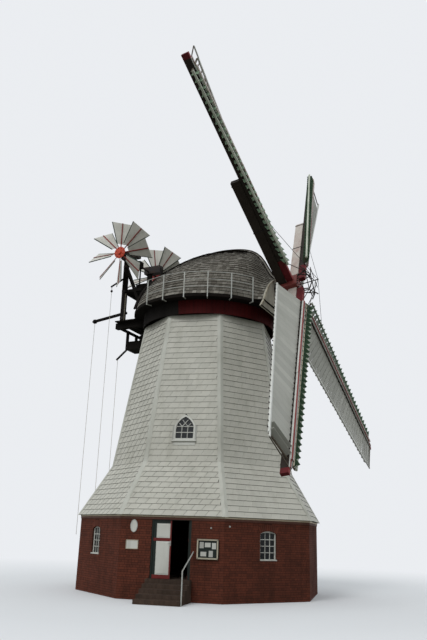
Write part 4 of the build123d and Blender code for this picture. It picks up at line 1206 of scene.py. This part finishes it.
def shutter_reach(index):
    """Distance of the middle of a shutter from the hub."""
    return panel_start + shutter_pitch * (index + 0.5)


def edge_point(width, reach):
    """Point of the twisted trailing panel, at a distance from the whip and from the hub."""
    ends = []
    for angle in (math.radians(heel_twist), math.radians(tip_twist)):
        ends.append(Vector((0, -width * math.cos(angle), panel_lift - width * math.sin(angle))))
    point = ends[0].lerp(ends[1], (reach - panel_start) / (panel_end - panel_start))
    point.x = reach
    return point


def whip_half(reach):
    """Half the width of the whip at a distance from the hub."""
    return 0.1 - 0.025 * (reach - 0.4) / 10.6


print("sails:", [tuple(round(v, 2) for v in sail.translation) for sail in sails])

# %% [markdown]
# The solids of a sail hold parts of different colours. Cross bars are tarred, and the
# boards on both edges are white. The closed shutters are light grey. The leading ones stand
# open and are a glossy green, so they look pale where they face the sky and nearly black
# from below, which gives the sails their rows of teeth. The tone of the shutters changes
# slightly from one to the next, counted along the whip, as painted shade for how each one's
# profile catches the light, so each sail has its own finish. The sail that points up to the
# left has paler green ones, a painted highlight of the sky on their upturned faces. The whips
# are tarred too, but their inner and outer ends are red, and on their sides the red is
# darker, as painted shade on the sides that face away from the light.

# %% Paint the sails
paint_start, paint_end = 1.5, 10.78
# The darker red of the side finish is painted shade on the sides of the whips.
for name, red in (("whip_paint", (152, 68, 68)), ("whip_side_painted_shade", (100, 32, 36))):
    finishes[name] = new_finish(
        name, (50, 43, 37), (36, 28, 26), 0.5, 0.2, 0.6, 24,
        relief=0.35, ends=(shaft_frame, paint_start, paint_end, red), shine=0.15,
    )


def whip_rule(face):
    """The front and the back of a whip have the first finish."""
    return 0 if abs(face.normal.dot(facing(shaft_frame))) > 0.7 else 1


sort_faces("whips", whip_rule, "whip_paint", "whip_side_painted_shade")
for number, sail in enumerate(sails, start=1):
    to_sail = sail.inverted()

    def frame_rule(face):
        across = (to_sail @ face.center).y
        return 1 if across < -1.12 else (2 if across > 0.4 else 0)

    def shutter_rule(face):
        return 0 if (to_sail @ face.center).y < 0 else 1

    sort_faces(f"sail_frame_{number}", frame_rule, "bar_timber", "hem_white", "hem_cream")
    out = facing(sail, (1, 0, 0))
    # Each shutter's own tone along the whip is painted shade for how its profile catches the light.
    name = f"shutters_of_sail_{number}"
    finishes[name] = new_finish(
        name, (181, 181, 172), (150, 150, 140), 0.25, 0.2, 0.5, 20,
        boards=(out, -panel_start - out.dot(sail.translation)), board_width=shutter_pitch, seam_share=0.35,
    )
    # The sail that points up to the left gets the paler green, a painted highlight of the sky.
    sort_faces(f"shutters_{number}", shutter_rule, name, "tooth_painted_highlight" if number == 2 else "sail_green")
print("sails painted")

# %% [markdown]
# On the front of every whip three painted boards lie on each other, white, red and white,
# each narrower than the one under it. A thin cream rod runs past the green shutters, and
# each shutter has an iron crank beside the whip and a pin where it turns in the edge board.

# %% Boards, cranks, rods and pins of the sails
white_boards, red_boards, rods, cranks, pins = [], [], [], [], []
board_lift = 0.15
board_runs = (
    (paint_start, 6.2, 0.19, 0.065, 0.035),
    (6.2, 10.45, 0.16, 0.065, 0.035),
    (10.45, paint_end, 0.16, 0.036, 0.02),
)
for number, sail in enumerate(sails, start=1):
    for start, end, width, under, upper in board_runs:
        top, side = board_lift + under, width / 2 - 0.05
        white_boards.append(flat_bar(sail, (start, 0), (end, 0), width, under, board_lift))
        red_boards.append(flat_bar(sail, (start, 0), (end, 0), width - 0.03, upper, top))
        white_boards.append(flat_bar(sail, (start, side), (end, side), 0.06, 0.006, top + upper))
    near, far = sail @ Vector((paint_start, 0.125, 0.27)), sail @ Vector((10.6, 0.11, 0.225))
    rods.append(bar_place(near, far, facing(sail), 0.03, 0.03))
    trailing = 23 if number == 2 else 29
    for index in range(shutter_places):
        reach = shutter_reach(index)
        beside = whip_half(reach) + 0.026
        for sign in (-1, 1) if index < trailing else (1,):
            cranks.append(level_bar(sail, reach, sign * beside, 0.045, 0.035, 0.05, 0.1))
        outer = edge_point(trailing_width, reach) + Vector((-0.02, -0.06, -0.03))
        inner = outer + Vector((0.04, 0, 0))
        pins.append(bar_place(sail @ outer, sail @ inner, facing(sail, (0, -1, 0)), 0.03, 0.045))
for name, places, slot_name, finish in (
    ("whip_white_boards", white_boards, "white_wood", "hem_white"),
    ("whip_red_boards", red_boards, "red_wood", "whip_red"),
    ("leading_rods", rods, "cream_wood", "cream_paint"),
    ("shutter_cranks", cranks, "iron", "iron"),
    ("shutter_pins", pins, "iron", "iron"),
):
    set_copies(name, unit_bar, places, "sails", slot_name, finish)

# %% [markdown]
# The sails aren't alike at their tips. On the one that points up to the left the outer
# shutters are gone and only their thin rails are left. The lowest one has its last two
# shutters open, the right one has them closed. The white edge boards run on a little there.

# %% Tips of the sails
rails, hem_ends, open_shutters, closed_shutters = [], [], [], []
for number, reach_end, bays in ((2, 10.88, (23, 31)), (3, 10.65, (29, 31)), (4, 10.93, (29, 33))):
    sail = sails[number - 1]
    forwards = facing(sail)
    outer, tip = sail @ edge_point(trailing_width, panel_end), sail @ edge_point(trailing_width, reach_end)
    hem_ends.append(bar_place(outer, tip, forwards, 0.07, 0.05))
    rails.append(bar_place(sail @ Vector((10.75, -0.06, 0.12)), tip, forwards, 0.04, 0.03))
    for index in range(*bays):
        start, end = [sail @ edge_point(width, shutter_reach(index)) for width in (0.1, 1.36)]
        if number == 2:
            rails.append(bar_place(start, end, forwards, 0.03, 0.03))
        elif number == 3:
            open_shutters.append(bar_place(start, end, facing(sail, (1, 0, 0.25)), 0.26, 0.02))
        else:
            closed_shutters.append(bar_place(start, end, forwards, 0.27, 0.02))
for name, places, slot_name, finish in (
    ("tip_rails", rails, "dark_wood", "bar_timber"),
    ("hem_ends", hem_ends, "white_wood", "hem_white"),
    ("open_tip_shutters", open_shutters, "shutter", "shutters_of_sail_3"),
    ("closed_tip_shutters", closed_shutters, "shutter", "shutters_of_sail_4"),
):
    set_copies(name, unit_bar, places, "sails", slot_name, finish)

# %% [markdown]
# In front of the poll end the striking gear spreads like a spider: ties between its arms,
# bell cranks at their ends and short levers that stand out like spikes. Bolts hold the
# cheeks of the poll end, and oak wedges hold the stocks in it.

# %% Striking gear, bolts and wedges
# Each part runs between two points, given by the turn from the sail, the distance from the
# shaft and the level, and has a thickness.
gear_parts = (
    ((0, 0.62, 5.02), (90, 0.62, 5.02), 0.033),
    ((0, 0.6, 5.03), (14, 0.9, 5.08), 0.039),
    ((0, 0.62, 5.03), (-10, 0.84, 4.84), 0.045),
    ((45, 0.1, 5.24), (30, 0.7, 5.14), 0.03),
    ((0, 0.35, 5.08), (20, 0.75, 4.7), 0.036),
    ((-6, 0.45, 4.6), (-6, 0.62, 5.02), 0.042),
)
gear, wedges = [], []


def round_shaft(turn, radius, level):
    """Point given by its turn, its distance from the shaft and its level."""
    angle = math.radians(turn)
    return shaft_frame @ Vector((radius * math.cos(angle), radius * math.sin(angle), level))


for turn, wedge_level in zip(sail_turns, (4.28, 3.88, 4.28, 3.88)):
    for *ends, size in gear_parts:
        first, last = [round_shaft(turn + more, radius, level) for more, radius, level in ends]
        gear.append(bar_place(first, last, facing(shaft_frame, (0.3, 0.2, 1)), size, size))
    place = shaft_frame @ moved(0, 0, wedge_level) @ turned(turn, "Z")
    wedges += [flat_bar(place, (0.34, side), (0.52, side), 0.07, 0.05, 0.17) for side in (-0.1, 0.1)]
front_plane = shaft_frame @ moved(0, 0, 4.54) @ turned(sail_turns[0], "Z")
cheek_points = [(across, up) for across in (-0.3, -0.1, 0.1, 0.3) for up in (-0.3, 0.3)]
cheek_points += [(across, up) for up in (-0.1, 0.1) for across in (-0.3, 0.3)]
set_copies("striking_gear", unit_bar, gear, "sails", "iron", "iron")
set_copies("stock_wedges", unit_bar, wedges, "sails", "dark_wood", "bar_timber")
set_copies("poll_bolts", unit_bolt, bolt_places(front_plane, cheek_points, 0.07), "sails", "iron", "iron")

# %% [markdown]
# ## Fan stage and roses
# Two roses of eight vanes turn the cap into the wind. Each has a round red plate over its
# hub with a ring of bolts, and the near ends of the arms are held by it. A cylinder is
# added at its size, its face is inset and raised, and the disc is then set on the hub.

# %% Hub plates
fan_out, fan_level = -4.152, 15.35
hub_sizes = {"vertices": 40, "radius": 0.3, "depth": 0.03, "location": (0, 0, 0.015)}
hub_angles = [math.radians(22.5 + 45 * index) for index in range(8)]
hub_ring = [(0.23 * math.cos(angle), 0.23 * math.sin(angle)) for angle in hub_angles]
hub_bolts = []
for sign, name in ((-1, "hub_plate_near"), (1, "hub_plate_far")):
    plane = cap_frame @ moved(fan_out, sign * 1.765, fan_level) @ turned(-90 * sign, "X")
    plate = start_piece(bpy.ops.mesh.primitive_cylinder_add, **hub_sizes)
    plate.name = name
    pick(plate, "FACE", looks_up)
    work_face(
        ("inset", 0.02), ("lift", 0.008), ("inset", 0.17), ("extrude", 0.05), ("inset", 0.02), ("lift", 0.015)
    )
    bpy.ops.object.shade_smooth_by_angle(angle=math.radians(35))
    plate.data.transform(plane)
    fit_out(plate, "fan", "red_iron", "hub_red")
    hub_bolts += bolt_places(plane, hub_ring, 0.05, 0.03)
set_copies("hub_bolts", unit_bolt, hub_bolts, "fan", "iron", "iron")

# %% [markdown]
# The timber of the fan stage is bolted together, with iron plates where the posts meet the
# deck and the rails. The near post has a pale strip down its inner side. Nuts show on the
# bearing boxes.

# %% Plates, strips and bolts of the stage
def outer_plane(out, side, level=0.0):
    """Plane on one side of the fan stage that looks away from its middle."""
    plane = cap_frame @ moved(out, side, level) @ turned(90, "X")
    return plane @ turned(180, "Y") if side > 0 else plane


plates, stage_bolts, strips = [], [], []
for sign in (-1, 1):
    outer = outer_plane(fan_out, sign * 1.2)
    for up in (12.14, 13.52, 14.82):
        plates.append(level_bar(outer, 0, up, 0.1, 0.12, 0.012))
        stage_bolts += bolt_places(outer, ((-0.06, up), (0.06, up)), 0.05, 0.012)
    inner = cap_frame @ moved(-4.052, sign * 1.1, 0) @ turned(90, "X") @ turned(90, "Y")
    strips.append(upright_bar(inner, sign * 0.05, 12.0, 13.4, 0.06, 0.012))
    nuts = [(across, up) for across in (-0.4, -0.15, 0.15, 0.4) for up in (-0.12, 0.12)]
    stage_bolts += bolt_places(outer_plane(-3.927, sign * 1.28, 15.425), nuts, 0.06)
set_copies("post_plates", unit_bar, plates, "cap", "iron", "iron")
set_copies("post_strips", unit_bar, strips, "cap", "cream_wood", "cream_paint")
set_copies("stage_bolts", unit_bolt, stage_bolts, "cap", "iron", "iron")

# %% [markdown]
# A rose is seen from behind as well. There a red batten runs down the middle of each vane,
# so the vane is held between the batten and its arm.

# %% Battens behind the vanes
battens = []
for sign, turn in ((-1, 0), (1, -8)):
    rose = Matrix(((0, sign, 0, fan_out), (0, 0, sign, sign * 1.72), (1, 0, 0, fan_level), (0, 0, 0, 1)))
    for index in range(8):
        blade = cap_frame @ rose @ turned(turn + 45 * index, "Z") @ turned(45, "X")
        battens.append(flat_bar(blade, (0.47, 0), (1.59, 0), 0.05, 0.014, -0.043))
set_copies("vane_battens", unit_bar, battens, "fan", "red_wood", "red_paint")

# %% Remove the unit shapes
for unit in (unit_bar, unit_bolt):
    bpy.data.objects.remove(unit)
